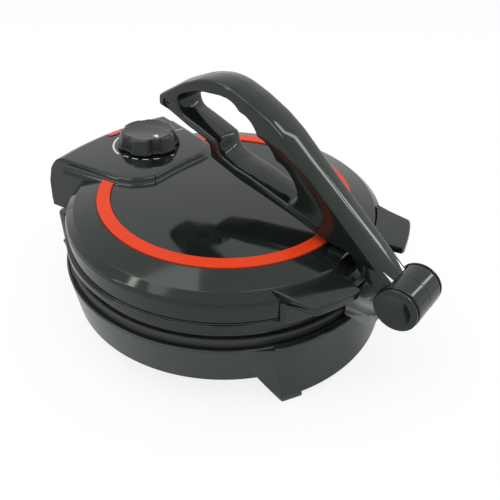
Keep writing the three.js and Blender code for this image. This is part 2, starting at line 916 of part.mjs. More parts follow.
// Handle bracket: block, two ears beside the barrel, and the middle tongue
function handleBracket() {
  const blockPart = block(
    -bracketHalfWidth, bracketHalfWidth,
    bracketFrontPlace, bracketRearPlace,
    bracketBottomHeight, bracketTopHeight,
  );
  const pedestal = block(
    -bracketPedestalHalfWidth, bracketPedestalHalfWidth,
    -(rimRadius + bracketPedestalFront), -(rimRadius + bracketPedestalRear),
    apronTopHeight + seat, bracketTopHeight - bracketBlockHeight / 2,
  );
  const ear = new THREE.Shape();
  ear.moveTo(bracketRearPlace, bracketTopHeight - bracketBlockHeight / 2);
  ear.lineTo(bracketRearPlace, bracketTopHeight + bracketEarRearRise);
  ear.lineTo(bracketFrontPlace + bracketEarTopLength, axleHeight + bracketEarRise);
  ear.lineTo(bracketFrontPlace, axleHeight + bracketEarRise);
  ear.lineTo(bracketFrontPlace, bracketTopHeight - bracketBlockHeight / 2);
  const ears = [-bracketHalfWidth, bracketHalfWidth - bracketEarThickness].map((from) => (
    carried(ear, from, from + bracketEarThickness)
  ));
  const tongue = tongueBar(0, tongueAngle).translate([0, axlePlaceY, axleHeight]);
  const knuckle = pin(knuckleRadius, -knuckleHalfWidth, knuckleHalfWidth, axlePlaceY, axleHeight);
  const bore = pin(
    axleRadius + slip, -knuckleHalfWidth - overrun, knuckleHalfWidth + overrun, axlePlaceY, axleHeight,
  );
  const screwHoles = [-1, 1].map((side) => disc(
    screwRadius + slip, bracketScrewSeat, bracketScrewSeat + bracketScrewLength + slip, pinSides,
    side * bracketScrewPlace, bracketScrewY,
  ));
  return cutBy(joined(blockPart, pedestal, ...ears, tongue, knuckle), bore, ...screwHoles);
}

// Control housing: its outline in plan, grown or shrunk by a wall. Its rear
// edge bows out by up to the given amount in the middle.
function housingOutline(grow, rear, flare, bow = 0) {
  const run = housingTopRear - housingFrontPlace;
  const right = housingCornerShares.map(([xShare, yShare], i) => [
    xShare * housingHalfWidth + grow + (i === 0 ? flare / 2 : 0),
    housingFrontPlace + yShare * run - grow,
  ]);
  const rearEdge = housingBowShares.map((share) => [
    share * (housingHalfWidth + flare + grow), rear + grow + bow * (1 - share ** 2),
  ]);
  const half = [...rearEdge, ...right];
  return [...half, ...half.slice().reverse().map(([x, y]) => [-x, y])];
}

const housingHeight = housingTopHeight - housingRearBottom;
const housingRearAt = (share) => THREE.MathUtils.lerp(housingTopRear, housingRearPlace, share);

function housing(inset, low) {
  const tilt = housingBottomSlope / (housingRearPlace - housingFrontPlace);
  const levels = housingLevelShares.map(([heightShare, rearShare, bowShare]) => {
    const [flare, bow] = [housingFlare * (1 - heightShare), housingBow * bowShare];
    const rear = housingRearAt(rearShare);
    if (heightShare === 1) {
      const top = housingOutline(-inset - housingTopInset, rear, flare, bow);
      return atHeight(top, housingTopHeight - inset);
    }
    const outline = housingOutline(-inset, rear, flare, bow);
    const z = housingRearBottom + heightShare * housingHeight;
    if (heightShare > 0) return atHeight(outline, z);
    return outline.map(([x, y]) => [x, y, z - low - tilt * (rear - y)]);
  });
  return lofted(...levels);
}

// Where the outside of the housing's rear wall lies at a height and width
function rearWallAt(z, x) {
  const share = (z - housingRearBottom) / housingHeight;
  const next = housingLevelShares.findIndex(([heightShare]) => heightShare >= share);
  const [below, above] = [housingLevelShares[next - 1], housingLevelShares[next]];
  const along = (share - below[0]) / (above[0] - below[0]);
  const [rearShare, bowShare] = [1, 2].map((i) => THREE.MathUtils.lerp(below[i], above[i], along));
  return housingRearAt(rearShare) + housingBow * bowShare * (1 - (x / housingHalfWidth) ** 2);
}

function frontTab() {
  const high = lidCrownHeight;
  const low = high - tabGussetDepth;
  const ring = turned([
    [lidRadius - lidWall / 2, low],
    [tabRadius - tabGussetInset, low],
    [tabRadius - tabThickness / 2, high - tabThickness],
    [tabRadius, high - tabThickness],
    [tabRadius, high],
    [lidBevelRadius + lidShoulder / 2, high],
    [lidRadius - lidWall / 2, high - lidBevelDrop],
  ]);
  const rootPlace = -(tabFrontCorner - tabRootInset);
  const far = -(tabRadius + overrun);
  const wings = [-1, 1].map((side) => {
    const plan = [
      [side * tabSlotRear, rootPlace],
      [side * tabSlotRear, -(lidRadius - lidBevelWidth)],
      [side * tabSlotFront, -tabRadius],
      [side * tabSlotFront, far],
      [side * tabHalfWidth, far],
      [side * tabHalfWidth, -tabFrontCorner],
      [side * (tabHalfWidth + tabRootSpread), rootPlace],
    ];
    return raised(side > 0 ? plan : plan.reverse(), low - overrun, high + overrun);
  });
  return ring.intersect(joined(...wings));
}

function lampOutline(grow) {
  const outline = [];
  for (let i = 0; i < pinSides; i += 1) {
    const angle = (2 * Math.PI * i) / pinSides;
    outline.push([(lampHalfLength + grow) * Math.cos(angle), (lampHalfWidth + grow) * Math.sin(angle)]);
  }
  return outline;
}

const lampPlaces = [redLampPlaceX, greenLampPlaceX];
const lampStem = -lampHalfWidth / 3;
const floorLugY = rimRadius + floorDepth - floorLugSize / 2;
const floorLugX = housingHalfWidth - floorLugSize / 2;

// The lid's top from its shoulder in to the red ring, raised by the given amount
function crownProfile(grow) {
  return [
    [lidShoulderRadius, lidTopHeight - lidBevelDrop + grow],
    [lidBevelRadius, lidCrownHeight + grow],
    [trimOuterRadius + slip, lidTopHeight + grow],
  ];
}

function lidShell() {
  const trimFloor = lidTopHeight - (trimThickness - trimStand) - seat;
  const round = turned([
    [0, lidBottomHeight],
    [bandRadius, lidBottomHeight],
    [bandRadius, lidBottomHeight + beadLow],
    [rimRadius - beadReach, lidBottomHeight + beadLow],
    [rimRadius + beadReach, lidBottomHeight + beadLow + beadReach],
    [rimRadius + beadReach, lidBottomHeight + beadHigh - beadReach],
    [lidRadius, lidBottomHeight + beadHigh],
    [lidRadius, lidTopHeight - lidBevelDrop - lidShoulderDrop],
    ...crownProfile(0),
    [trimOuterRadius + slip, trimFloor],
    [trimOuterRadius - trimWidth - slip, trimFloor],
    [trimOuterRadius - trimWidth - slip, lidTopHeight],
    [0, lidTopHeight],
  ]);
  const roundHollow = turned([
    [0, lidTopHeight - lidWall],
    [trimOuterRadius, lidTopHeight - lidWall],
    [lidBevelRadius - lidWall, lidCrownHeight - lidWall],
    [lidShoulderRadius - lidWall, lidTopHeight - lidBevelDrop - lidWall / 2],
    [lidInnerRadius, lidTopHeight - lidBevelDrop - lidShoulderDrop - lidWall / 2],
    [lidInnerRadius, ledgeTopHeight],
    [deckRadius, ledgeTopHeight],
    [deckRadius, ledgeBottomHeight],
    [rimInnerRadius, ledgeBottomHeight],
    [rimInnerRadius, lidBottomHeight - overrun],
    [0, lidBottomHeight - overrun],
  ]);
  const overBase = disc(rimRadius + 2 * beadReach, 0, lidBottomHeight, bodySides);
  const overWall = disc(wallTopRadius + 2 * slip, 0, wallTopHeight + 2 * seat, bodySides);
  const outside = joined(round, cutBy(housing(0, 0), overBase, overWall), frontTab());
  const lowerRound = disc(lidRadius, 0, ledgeTopHeight, bodySides);
  const lugOutline = new THREE.Shape();
  const lugTop = hingeHeight + lugHeight;
  lugOutline.moveTo(hingePlaceY - lugRadius, hingeHeight);
  lugOutline.absarc(hingePlaceY, hingeHeight, lugRadius, Math.PI, 2 * Math.PI);
  lugOutline.lineTo(rearWallAt(lugTop, hingePlace) - housingWall / 2, lugTop);
  lugOutline.lineTo(hingePlaceY - lugRadius, lugTop);
  const lugInner = hingeEarThickness / 2 + hingeEarGap;
  const lugs = [-hingePlace, hingePlace].flatMap((x) => [
    carried(lugOutline, x - lugInner - lugThickness, x - lugInner),
    carried(lugOutline, x + lugInner, x + lugInner + lugThickness),
  ]);
  const floorTop = floorHeight + floorThickness + seat;
  const floorLugs = [-1, 1].map((side) => block(
    Math.min(side * (floorLugX - floorLugSize), side * (floorLugX + floorLugSize / 2)),
    Math.max(side * (floorLugX - floorLugSize), side * (floorLugX + floorLugSize / 2)),
    floorLugY - floorLugSize / 2, floorLugY + floorLugSize / 2,
    floorTop, floorTop + floorLugSize,
  ));
  const pinHoles = [-hingePlace, hingePlace].map((x) => pin(
    hingePinRadius + slip, x - 2 * overrun, x + 2 * overrun, hingePlaceY, hingeHeight, pinSides,
  ));
  const floorHoles = [-1, 1].map((side) => disc(
    screwRadius + slip, floorHeight - overrun, floorTop + screwLength - floorThickness, pinSides,
    side * (floorLugX - floorLugSize / 2), floorLugY,
  ));
  const bushHole = disc(
    bushRadius + slip, lidTopHeight, housingTopHeight + overrun, discSides, knobPlaceX, knobPlaceY,
  );
  const lampHoles = lampPlaces.map((x) => raised(
    lampOutline(lampStem + slip).map(([dx, dy]) => [x + dx, lampPlaceY + dy]),
    lidTopHeight - overrun, housingTopHeight + overrun,
  ));
  const walls = cutBy(outside, roundHollow, housing(housingWall, overrun).subtract(lowerRound));
  return cutBy(joined(walls, ...lugs, ...floorLugs), ...pinHoles, ...floorHoles, bushHole, ...lampHoles);
}

function trimRing() {
  const low = lidTopHeight - (trimThickness - trimStand);
  const high = low + trimThickness;
  const ring = turned([
    [trimOuterRadius - trimWidth, low],
    [trimOuterRadius, low],
    [trimOuterRadius, high],
    [trimOuterRadius - trimWidth, high],
  ]);
  const far = rimRadius + overrun;
  const underHousing = raised(housingOutline(2 * slip, far, housingFlare), low - overrun, high + overrun);
  return ring.subtract(underHousing);
}

function housingFloor() {
  const halfWidth = floorLugX - seat;
  const plate = block(
    -halfWidth, halfWidth, rimRadius + 2 * beadReach + slip, rimRadius + floorDepth,
    floorHeight, floorHeight + floorThickness,
  );
  const holes = [-1, 1].map((side) => disc(
    screwRadius + slip, floorHeight - overrun, floorHeight + floorThickness + overrun, pinSides,
    side * (floorLugX - floorLugSize / 2), floorLugY,
  ));
  return cutBy(plate, ...holes);
}

function lampLens() {
  const oval = (grow, low, high) => raised(lampOutline(grow), low, high);
  return joined(
    oval(0, seat, seat + lampStand),
    oval(lampStem, -housingWall - seat, seat + lampStand / 2),
  );
}

// Thermostat, with the housing's top at its origin
const thermostatTop = -housingWall - seat;
const bushTop = seat + nutHeight + seat;
function thermostatBody() {
  const can = block(
    -thermostatWidth / 2, thermostatWidth / 2,
    -thermostatDepth / 2, thermostatDepth / 2,
    thermostatTop - thermostatHeight, thermostatTop,
  );
  const bush = disc(bushRadius, thermostatTop - thermostatHeight / 2, bushTop);
  const bore = disc(shaftRadius + slip, thermostatTop - thermostatHeight / 2, bushTop + overrun);
  return cutBy(joined(can, bush), bore);
}

function thermostatNut() {
  const nut = disc(nutRadius, seat, seat + nutHeight, studNutSides);
  return nut.subtract(disc(bushRadius + slip, 0, nutHeight + overrun));
}

// Knob, with its lower edge at its origin
function knobBody() {
  const body = turned([
    [0, 0],
    [knobRadius, 0],
    [knobRadius, knobSkirtHeight],
    [knobTopRadius, knobHeight - knobTopRounding],
    [knobTopRadius - knobTopRounding, knobHeight],
    [0, knobHeight],
  ], plateSides);
  const flutes = [];
  for (let i = 0; i < knobFlutes; i += 1) {
    const flute = new THREE.CylinderGeometry(knobFluteRadius, knobFluteRadius, 2 * knobHeight, discSides)
      .rotateX(Math.PI / 2)
      .rotateY(-knobFluteLean)
      .translate(knobFluteReach, 0, knobHeight + knobSkirtHeight)
      .rotateZ((2 * Math.PI * i) / knobFlutes);
    flutes.push(solid(flute));
  }
  const hollow = disc(knobHollowRadius, -overrun, knobHollowHeight);
  const bore = disc(shaftRadius + slip, 0, knobHollowHeight + shaftInKnob);
  return cutBy(body, ...flutes, hollow, bore, pointerBody(slip, -pointerDepth - seat));
}

function pointerBody(grow, depth) {
  const tip = knobTopRadius - pointerInset + grow;
  const root = tip - pointerLength - 2 * grow;
  const outline = [[tip, 0], [root, pointerWidth / 2 + grow], [root, -pointerWidth / 2 - grow]];
  const marker = raised(outline, knobHeight + depth, knobHeight + (grow > 0 ? overrun : 0));
  return marker.rotate([0, 0, pointerAngle]);
}

function thermostatShaft() {
  const low = thermostatTop - thermostatHeight / 2 + seat;
  return disc(shaftRadius, low - knobStand, knobHollowHeight + shaftInKnob - seat);
}

// Handle, with the axle's middle at its origin
const handlePoint = ([yShare, zShare]) => new THREE.Vector2(yShare * handleReach, zShare * handleRise);

function handleOutline() {
  const run = axleDrop + seat + pressPadHeight + pressGap;
  const back = handleBackShares.map(handlePoint);
  const crest = handlePoint(handleCrestShares);
  const armRoot = polar(barrelRadius, armRootAngle);
  const shape = new THREE.Shape();
  shape.moveTo(0, 0);
  shape.lineTo(...armRoot);
  shape.lineTo(crest.x, crest.y);
  shape.splineThru(back);
  for (const point of handleBellyShares.map(handlePoint)) shape.lineTo(point.x, point.y);
  shape.lineTo(handleRunRearShare * handleReach, run);
  shape.lineTo(handleRunFrontShare * axleReach, run);
  for (const [yShare, zShare] of handleNeckShares) shape.lineTo(yShare * axleReach, zShare * axleDrop);
  const loop = new THREE.Path();
  const grip = loopGripShares.map(handlePoint);
  loop.moveTo(grip[0].x, grip[0].y);
  for (const point of grip.slice(1)) loop.lineTo(point.x, point.y);
  for (const [bendY, bendZ, endY, endZ] of loopFingerShares) {
    const bend = handlePoint([bendY, bendZ]);
    const end = handlePoint([endY, endZ]);
    loop.quadraticCurveTo(bend.x, bend.y, end.x, end.y);
  }
  for (const point of loopBarShares.map(handlePoint)) loop.lineTo(point.x, point.y);
  shape.holes.push(loop);
  return shape;
}

function screwAcross(shares, head, radiusGrow, depthGrow) {
  const [y, z] = [shares[0] * handleReach, shares[1] * handleRise];
  const headOuter = handleHalfWidth - handleScrewSink + depthGrow;
  const headInner = handleHalfWidth - handleScrewSink - handleScrewHeadDepth;
  const reach = handleHalfWidth / 2 + (radiusGrow > 0 ? seat : 0);
  const [from, to] = head < 0 ? [-headOuter, -headInner + radiusGrow] : [headInner - radiusGrow, headOuter];
  const [low, high] = head < 0 ? [-headInner - seat, reach] : [-reach, headInner + seat];
  return joined(
    pin(handleScrewHeadRadius + radiusGrow, from, to, y, z, pinSides),
    pin(handleScrewRadius + radiusGrow, low, high, y, z, pinSides),
  );
}

const handleScrews = [
  ['handle_screw_rear', rearScrewShares, -1],
  ['handle_screw_front', frontScrewShares, 1],
];

function barrelSlot() {
  const half = Math.asin(tongueHalfThickness / barrelRadius) / degree + barrelSlotMargin;
  const from = tongueAngle + half;
  const to = tongueAngle - half - handleOpenAngle;
  const slot = new THREE.Shape();
  slot.moveTo(0, 0);
  for (let i = 0; i <= discSides; i += 1) {
    const [y, z] = polar(shellSlot, from + ((to - from) * i) / discSides);
    slot.lineTo(y, z);
  }
  const ends = [tongueAngle, tongueAngle - handleOpenAngle].map((angle) => tongueBar(2 * seat, angle));
  return joined(carried(slot, -knuckleHalfWidth - seat, knuckleHalfWidth + seat), ...ends);
}

function handleShell(side) {
  const arm = carried(handleOutline(), -handleHalfWidth, handleHalfWidth, handleEdge);
  const barrel = pin(barrelRadius, -barrelHalfLength, barrelHalfLength);
  const pocket = new THREE.Shape(armPocketShares.map(handlePoint));
  const channel = solid(new THREE.BoxGeometry(
    2 * (coreHalfWidth + seat), coreLength + seat, 2 * (coreHalfHeight + seat),
  ).translate(0, (coreLength + seat) / 2, 0).rotateX(coreAngle * degree));
  const spigotRoom = barrelHalfLength + 2 * seat + barrelCollarThickness - capSpigotDepth - seat;
  const far = barrelHalfLength + overrun;
  const keep = block(
    side > 0 ? handleSeam / 2 : -far, side > 0 ? far : -handleSeam / 2,
    -handleReach, 2 * handleReach, -handleReach, 2 * handleReach,
  );
  return cutBy(
    joined(arm, barrel),
    carried(pocket, -armPocketHalfWidth, armPocketHalfWidth),
    channel,
    barrelSlot(),
    pin(knuckleRadius + slip + seat, -knuckleHalfWidth - seat, knuckleHalfWidth + seat),
    pin(coreEarRadius + seat, -coreHalfWidth - seat, coreHalfWidth + seat),
    pin(axleRadius + slip, -far, far),
    pin(capSpigotRadius + slip, -far, -spigotRoom),
    pin(capSpigotRadius + slip, spigotRoom, far),
    ...handleScrews.map(([, shares, head]) => screwAcross(shares, head, slip, overrun)),
  ).intersect(keep);
}

// Steel core in the arm: a bar whose two ears hold it on the axle
function handleCore() {
  const bar = (halfWidth, from, to) => solid(
    new THREE.BoxGeometry(2 * halfWidth, to - from, 2 * coreHalfHeight)
      .translate(0, (from + to) / 2, 0)
      .rotateX(coreAngle * degree),
  );
  const ears = pin(coreEarRadius, -coreHalfWidth, coreHalfWidth);
  const room = coreHalfWidth - coreEarThickness;
  const between = pin(coreBarStart - seat, -room, room);
  const far = coreHalfWidth + overrun;
  return cutBy(joined(ears, bar(coreHalfWidth, 0, coreLength)), between, pin(axleRadius + slip, -far, far));
}

function barrelCollar() {
  return cutBy(
    pin(barrelRadius - barrelCollarInset, 0, barrelCollarThickness),
    pin(capSpigotRadius + slip, -overrun, overrun),
  );
}

// Cap for the right-hand end, with its inner face at its origin
function barrelCap() {
  const face = pin(barrelRadius - barrelCapInset, 0, barrelCapThickness);
  const spigot = pin(capSpigotRadius, -capSpigotDepth, barrelCapThickness / 2);
  const bore = pin(axleRadius + slip, -capSpigotDepth - overrun, -seat);
  const dish = solid(new THREE.CylinderGeometry(
    capDimpleFloorRadius, capDimpleRadius, capDimpleDepth, discSides,
  ).rotateZ(Math.PI / 2).translate(barrelCapThickness - capDimpleDepth / 2, 0, 0));
  return cutBy(joined(face, spigot), bore, dish);
}

// Base pieces in their places
place(base, 'base_shell', baseShell(), glossBlack());
place(base, 'base_rim_ring', baseRim(), matteBlack());
place(base, 'base_bottom_cover', bottomCover(), matteBlack());
bossPlaces.forEach(([x, y], i) => {
  place(base, `bottom_screw_${i + 1}`, screw(screwLength), steel(), x, y, coverBottomHeight - seat);
});
footPlaces.forEach(([x, y], i) => {
  const pad = disc(footPadRadius, 0, legBottomHeight + footPadDepth - seat, pinSides);
  place(base, `foot_pad_${i + 1}`, pad, matteBlack(), x, y);
});
heatingParts(base, 'lower', lowerPlateTop, 1);
const boxFloor = boxBottomHeight + baseWall + seat;
const boxMiddle = (baseRadius + boxRearPlace - baseWall) / 2;
place(base, 'terminal_block', terminalBlock(), ceramic(), 0, boxMiddle - terminalDepth / 2, boxFloor);
const fuse = pin(fuseRadius, -fuseLength / 2, fuseLength / 2, 0, 0, pinSides);
const fuseX = terminalWidth / 2 + fusePlace;
place(base, 'thermal_fuse', fuse, wovenSleeve(), -fuseX, boxMiddle, boxFloor + fuseRadius);
const gland = place(base, 'cord_gland', cordGland(), matteBlack(), glandPlace, boxRearPlace, glandHeight);
gland.rotation.x = -Math.PI / 2;
for (const [side, name] of [[-1, 'left'], [1, 'right']]) {
  const x = side * hingePlace;
  place(base, `hinge_bracket_${name}`, hingeBracket(side), steel(), x, hingePlaceY, hingeHeight);
  place(base, `hinge_pin_${name}`, hingePin(), steel(), x, hingePlaceY, hingeHeight);
  const down = hingeFootLow + hingeFootThickness + seat;
  const footScrew = place(base, `hinge_screw_${name}`, screw(screwLength), steel());
  footScrew.position.set(side * hingeScrewX, hingeScrewY, down);
  footScrew.rotation.x = Math.PI;
  const bracketScrew = place(base, `bracket_screw_${name}`, screw(bracketScrewLength), steel());
  bracketScrew.position.set(side * bracketScrewPlace, bracketScrewY, bracketScrewSeat - seat);
}
place(base, 'handle_bracket', handleBracket(), zinc());
const axle = pin(axleRadius, -axleHalfLength, axleHalfLength);
place(base, 'handle_axle', axle, steel(), 0, axlePlaceY, axleHeight);

// Lid pieces
place(lid, 'lid_shell', lidShell(), glossBlack());
place(lid, 'trim_ring', trimRing(), redPlastic());
const crownRoom = turned([
  [0, lidBottomHeight],
  [lidShoulderRadius, lidBottomHeight],
  ...crownProfile(seat),
  [0, lidTopHeight + seat],
]);
const pressPad = block(
  -pressPadHalfWidth, pressPadHalfWidth,
  pressPadPlaceY - pressPadLength / 2, pressPadPlaceY + pressPadLength / 2,
  lidCrownHeight, lidTopHeight + seat + pressPadHeight,
).subtract(crownRoom);
place(lid, 'press_pad', pressPad, glossBlack());
heatingParts(lid, 'upper', upperPlateBottom, -1);
place(lid, 'thermostat_body', thermostatBody(), zinc(), knobPlaceX, knobPlaceY, housingTopHeight);
place(lid, 'thermostat_nut', thermostatNut(), steel(), knobPlaceX, knobPlaceY, housingTopHeight);
const lampColors = [['red', 0xe03a24], ['green', 0x2fb08c]];
lampColors.forEach(([name, color], i) => {
  const neonHeight = housingTopHeight - housingWall - 2 * seat - neonRadius;
  const neon = pin(neonRadius, -neonLength / 2, neonLength / 2, 0, 0, pinSides);
  const x = lampPlaces[i];
  place(lid, `${name}_lamp_lens`, lampLens(), lampPlastic(color), x, lampPlaceY, housingTopHeight);
  place(lid, `${name}_neon_lamp`, neon, bulbGlass(), x, lampPlaceY, neonHeight);
});
place(lid, 'housing_floor', housingFloor(), matteBlack());
for (const [side, name] of [[-1, 'left'], [1, 'right']]) {
  const x = side * (floorLugX - floorLugSize / 2);
  place(lid, `floor_screw_${name}`, screw(screwLength), steel(), x, floorLugY, floorHeight - seat);
}

// Handle pieces, from the axle
handle.position.set(0, axlePlaceY, axleHeight);
place(handle, 'handle_left_shell', handleShell(-1), glossBlack());
place(handle, 'handle_right_shell', handleShell(1), glossBlack());
place(handle, 'handle_core', handleCore(), steel());
for (const [name, shares, head] of handleScrews) {
  place(handle, name, screwAcross(shares, head, 0, 0), steel());
}
for (const [side, name] of [[-1, 'left'], [1, 'right']]) {
  const collarPlace = barrelHalfLength + seat;
  const capPlace = collarPlace + barrelCollarThickness + seat;
  const collar = place(handle, `barrel_collar_${name}`, barrelCollar(), matteBlack(), side * collarPlace);
  const cap = place(handle, `barrel_cap_${name}`, barrelCap(), glossBlack(), side * capPlace);
  if (side < 0) {
    collar.rotation.z = Math.PI;
    cap.rotation.z = Math.PI;
  }
}

// Knob pieces, from the knob's lower edge
knob.position.set(knobPlaceX, knobPlaceY, housingTopHeight + knobStand);
place(knob, 'knob', knobBody(), matteBlack());
place(knob, 'knob_pointer', pointerBody(0, -pointerDepth), whitePlastic());
place(knob, 'thermostat_shaft', thermostatShaft(), zinc());

// The origin goes under the middle of the whole outline
const frontmost = axlePlaceY - barrelRadius;
const rearmost = boxRearPlace + glandFlangeThickness;
model.position.y = -(frontmost + rearmost) / 2;

export default model;
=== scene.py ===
import json
import math

import bmesh
import bpy
from mathutils import Matrix, Vector
from mathutils.geometry import tessellate_polygon


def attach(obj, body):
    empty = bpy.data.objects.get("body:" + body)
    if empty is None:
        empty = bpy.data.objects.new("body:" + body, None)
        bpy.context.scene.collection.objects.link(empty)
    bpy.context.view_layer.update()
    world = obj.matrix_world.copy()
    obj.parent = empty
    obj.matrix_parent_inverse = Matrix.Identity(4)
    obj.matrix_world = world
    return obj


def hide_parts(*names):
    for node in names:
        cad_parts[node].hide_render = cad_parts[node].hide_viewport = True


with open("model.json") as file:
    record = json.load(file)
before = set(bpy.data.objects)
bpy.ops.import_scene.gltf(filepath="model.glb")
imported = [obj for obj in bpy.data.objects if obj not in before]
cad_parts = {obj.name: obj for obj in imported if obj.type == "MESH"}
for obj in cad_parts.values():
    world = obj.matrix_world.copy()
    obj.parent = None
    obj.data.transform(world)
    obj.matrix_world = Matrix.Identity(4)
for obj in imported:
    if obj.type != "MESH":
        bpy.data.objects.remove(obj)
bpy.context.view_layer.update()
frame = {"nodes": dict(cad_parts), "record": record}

scene = bpy.context.scene

# Camera: it stands to the front left and above, where the photographer stood.
# Its place and lens were fitted to the round outlines of the cooker.


def linked(name, data):
    thing = bpy.data.objects.new(name, data)
    scene.collection.objects.link(thing)
    return thing


photo_camera = bpy.data.cameras.new("photo_camera")
photo_camera.sensor_width = 36
photo_camera.lens = 39.6
camera = linked("photo_camera", photo_camera)
camera_back = Vector((-0.6309, -0.4922, 0.5997)).normalized()
camera_up = Vector((0.4515, 0.3956, 0.7997))
camera_right = camera_up.cross(camera_back).normalized()
camera_up = camera_back.cross(camera_right)
camera_place = Matrix((camera_right, camera_up, camera_back)).transposed().to_4x4()
camera_place.translation = (-0.3171, -0.26305, 0.3606)
camera.matrix_world = camera_place
scene.camera = camera
scene.view_settings.view_transform = "Standard"

# Studio: a white room whose walls show in gloss and behind the object, a
# large soft box above, a small one over the arm, and two strips that draw the
# streaks on the handle.


def set_inputs(node, values):
    for label, value in values.items():
        node.inputs[label].default_value = value


def wired(tree, kind, links=(), values=None, **settings):
    """A new node with its settings and input values, fed by other nodes' outputs."""
    node = tree.nodes.new(kind)
    for label, value in settings.items():
        setattr(node, label, value)
    set_inputs(node, values or {})
    for socket, source in links:
        tree.links.new(source, node.inputs[socket])
    return node


world = bpy.data.worlds.new("white_room")
scene.world = world
world.use_nodes = True
room = world.node_tree
room.nodes.clear()
ray = wired(room, "ShaderNodeLightPath")
seen = wired(room, "ShaderNodeMath", [
    (0, ray.outputs["Is Camera Ray"]), (1, ray.outputs["Is Glossy Ray"])], operation="MAXIMUM")
seen_or_glass = wired(room, "ShaderNodeMath", [
    (0, seen.outputs[0]), (1, ray.outputs["Is Transmission Ray"])], operation="MAXIMUM")
fill_light, white_wall = (
    wired(room, "ShaderNodeBackground", values={"Color": (1, 1, 1, 1), "Strength": strength})
    for strength in (0.62, 1.0))
room_mix = wired(room, "ShaderNodeMixShader", [
    ("Fac", seen_or_glass.outputs[0]), (1, fill_light.outputs[0]), (2, white_wall.outputs[0])])
wired(room, "ShaderNodeOutputWorld", [("Surface", room_mix.outputs[0])])


def soft_box(name, place, aim, width, height, power):
    lamp = bpy.data.lights.new(name, "AREA")
    lamp.shape = "RECTANGLE"
    lamp.size, lamp.size_y = width, height
    lamp.energy = power
    thing = linked(name, lamp)
    thing.location = place
    thing.rotation_euler = (Vector(aim) - Vector(place)).to_track_quat("-Z", "Y").to_euler()


soft_box("overhead_box", (-0.5, 0.5, 1.7), (0, 0, 0), 1.5, 1.1, 9)
soft_box("left_strip", (-1.2, 0.7, 0.9), (0, 0, 0.1), 0.09, 1.2, 2.4)
soft_box("right_strip", (1.15, -0.72, 1.2), (0, 0, 0.1), 0.14, 1.3, 4)
soft_box("arm_box", (0.1, -0.42, 1.6), (0, -0.05, 0.15), 0.42, 0.5, 2.4)


# Every finish is grown from noise on the object's own coordinates: a slow
# change of tone, a change of roughness like handling marks, and a fine relief.
def finish(name, low, high, rough, tone_scale=30, grain_scale=900, relief=0.02,
           metal=0.0, stretch=(1, 1, 1), clear_coat=0.0, gloss=0.5, gloss_tint=(1, 1, 1)):
    made = bpy.data.materials.new(name)
    made.use_nodes = True
    tree = made.node_tree
    where = wired(tree, "ShaderNodeTexCoord")
    turn = wired(tree, "ShaderNodeMapping", [("Vector", where.outputs["Object"])], {"Scale": stretch})
    tone, grain = (
        wired(tree, "ShaderNodeTexNoise", [("Vector", turn.outputs["Vector"])],
              {"Scale": scale, "Detail": detail})
        for scale, detail in ((tone_scale, 4), (grain_scale, 2)))
    colour = wired(tree, "ShaderNodeMix", [("Factor", tone.outputs["Fac"])],
                   {"A": (*low, 1), "B": (*high, 1)}, data_type="RGBA")
    spread = wired(tree, "ShaderNodeMapRange", [("Value", tone.outputs["Fac"])],
                   {"From Min": 0.3, "From Max": 0.7, "To Min": rough[0], "To Max": rough[1]})
    shader = tree.nodes["Principled BSDF"]
    set_inputs(shader, {"Metallic": metal, "IOR": 1.5, "Specular IOR Level": gloss,
                        "Specular Tint": (*gloss_tint, 1), "Coat Weight": clear_coat,
                        "Coat Roughness": 0.04})
    tree.links.new(colour.outputs["Result"], shader.inputs["Base Color"])
    tree.links.new(spread.outputs["Result"], shader.inputs["Roughness"])
    if relief > 0:
        bump = wired(tree, "ShaderNodeBump", [("Height", grain.outputs["Fac"])],
                     {"Strength": 0.6, "Distance": relief * 0.001})
        tree.links.new(bump.outputs["Normal"], shader.inputs["Normal"])
    return made


# Worktop: a plain pale floor that carries the cooker and its shadow. For the
# camera it glows a little, so that it runs into the white room.
worktop_mesh = bpy.data.meshes.new("worktop")
worktop_mesh.from_pydata([(-4, -4, 0), (4, -4, 0), (4, 4, 0), (-4, 4, 0)], [], [(0, 1, 2, 3)])
pale_top = finish("pale_worktop", (0.88, 0.88, 0.88), (0.92, 0.92, 0.92), (0.8, 0.9), 3, 200, 0)
top = pale_top.node_tree
top_ray = wired(top, "ShaderNodeLightPath")
whiter = wired(top, "ShaderNodeMath", [(0, top_ray.outputs["Is Camera Ray"])], {1: 0.8},
               operation="MULTIPLY")
white_glow = wired(top, "ShaderNodeEmission", values={"Strength": 1.04})
top_mix = wired(top, "ShaderNodeMixShader", [
    ("Fac", whiter.outputs[0]), (1, top.nodes["Principled BSDF"].outputs[0]), (2, white_glow.outputs[0])])
top.links.new(top_mix.outputs[0], top.nodes["Material Output"].inputs["Surface"])
worktop_mesh.materials.append(pale_top)
worktop = linked("worktop", worktop_mesh)

# Base shell: one moulding in glossy black plastic. Its round wall flares to
# the deck, where a lip stands around the rim, and it is hollow below.
MM = 0.001
middle = 13.85  # the circles' centre, in front of which the handle stands out
gloss_black = finish("gloss_black", (0.007, 0.009, 0.008), (0.011, 0.014, 0.012), (0.06, 0.11), 40, 700,
                     0.0015, gloss=0.44, gloss_tint=(0.88, 1, 0.9))
# The base is the same gloss black plastic as the lid, painted lighter here: a painted reflection of the pale
# room in its wall, apron and legs.
base_black_painted_sheen = finish("base_black_painted_sheen", (0.016, 0.021, 0.020), (0.022, 0.029, 0.027), (0.1, 0.17), 40, 700,
                    0.0015, gloss=0.5, gloss_tint=(0.86, 1, 0.97))


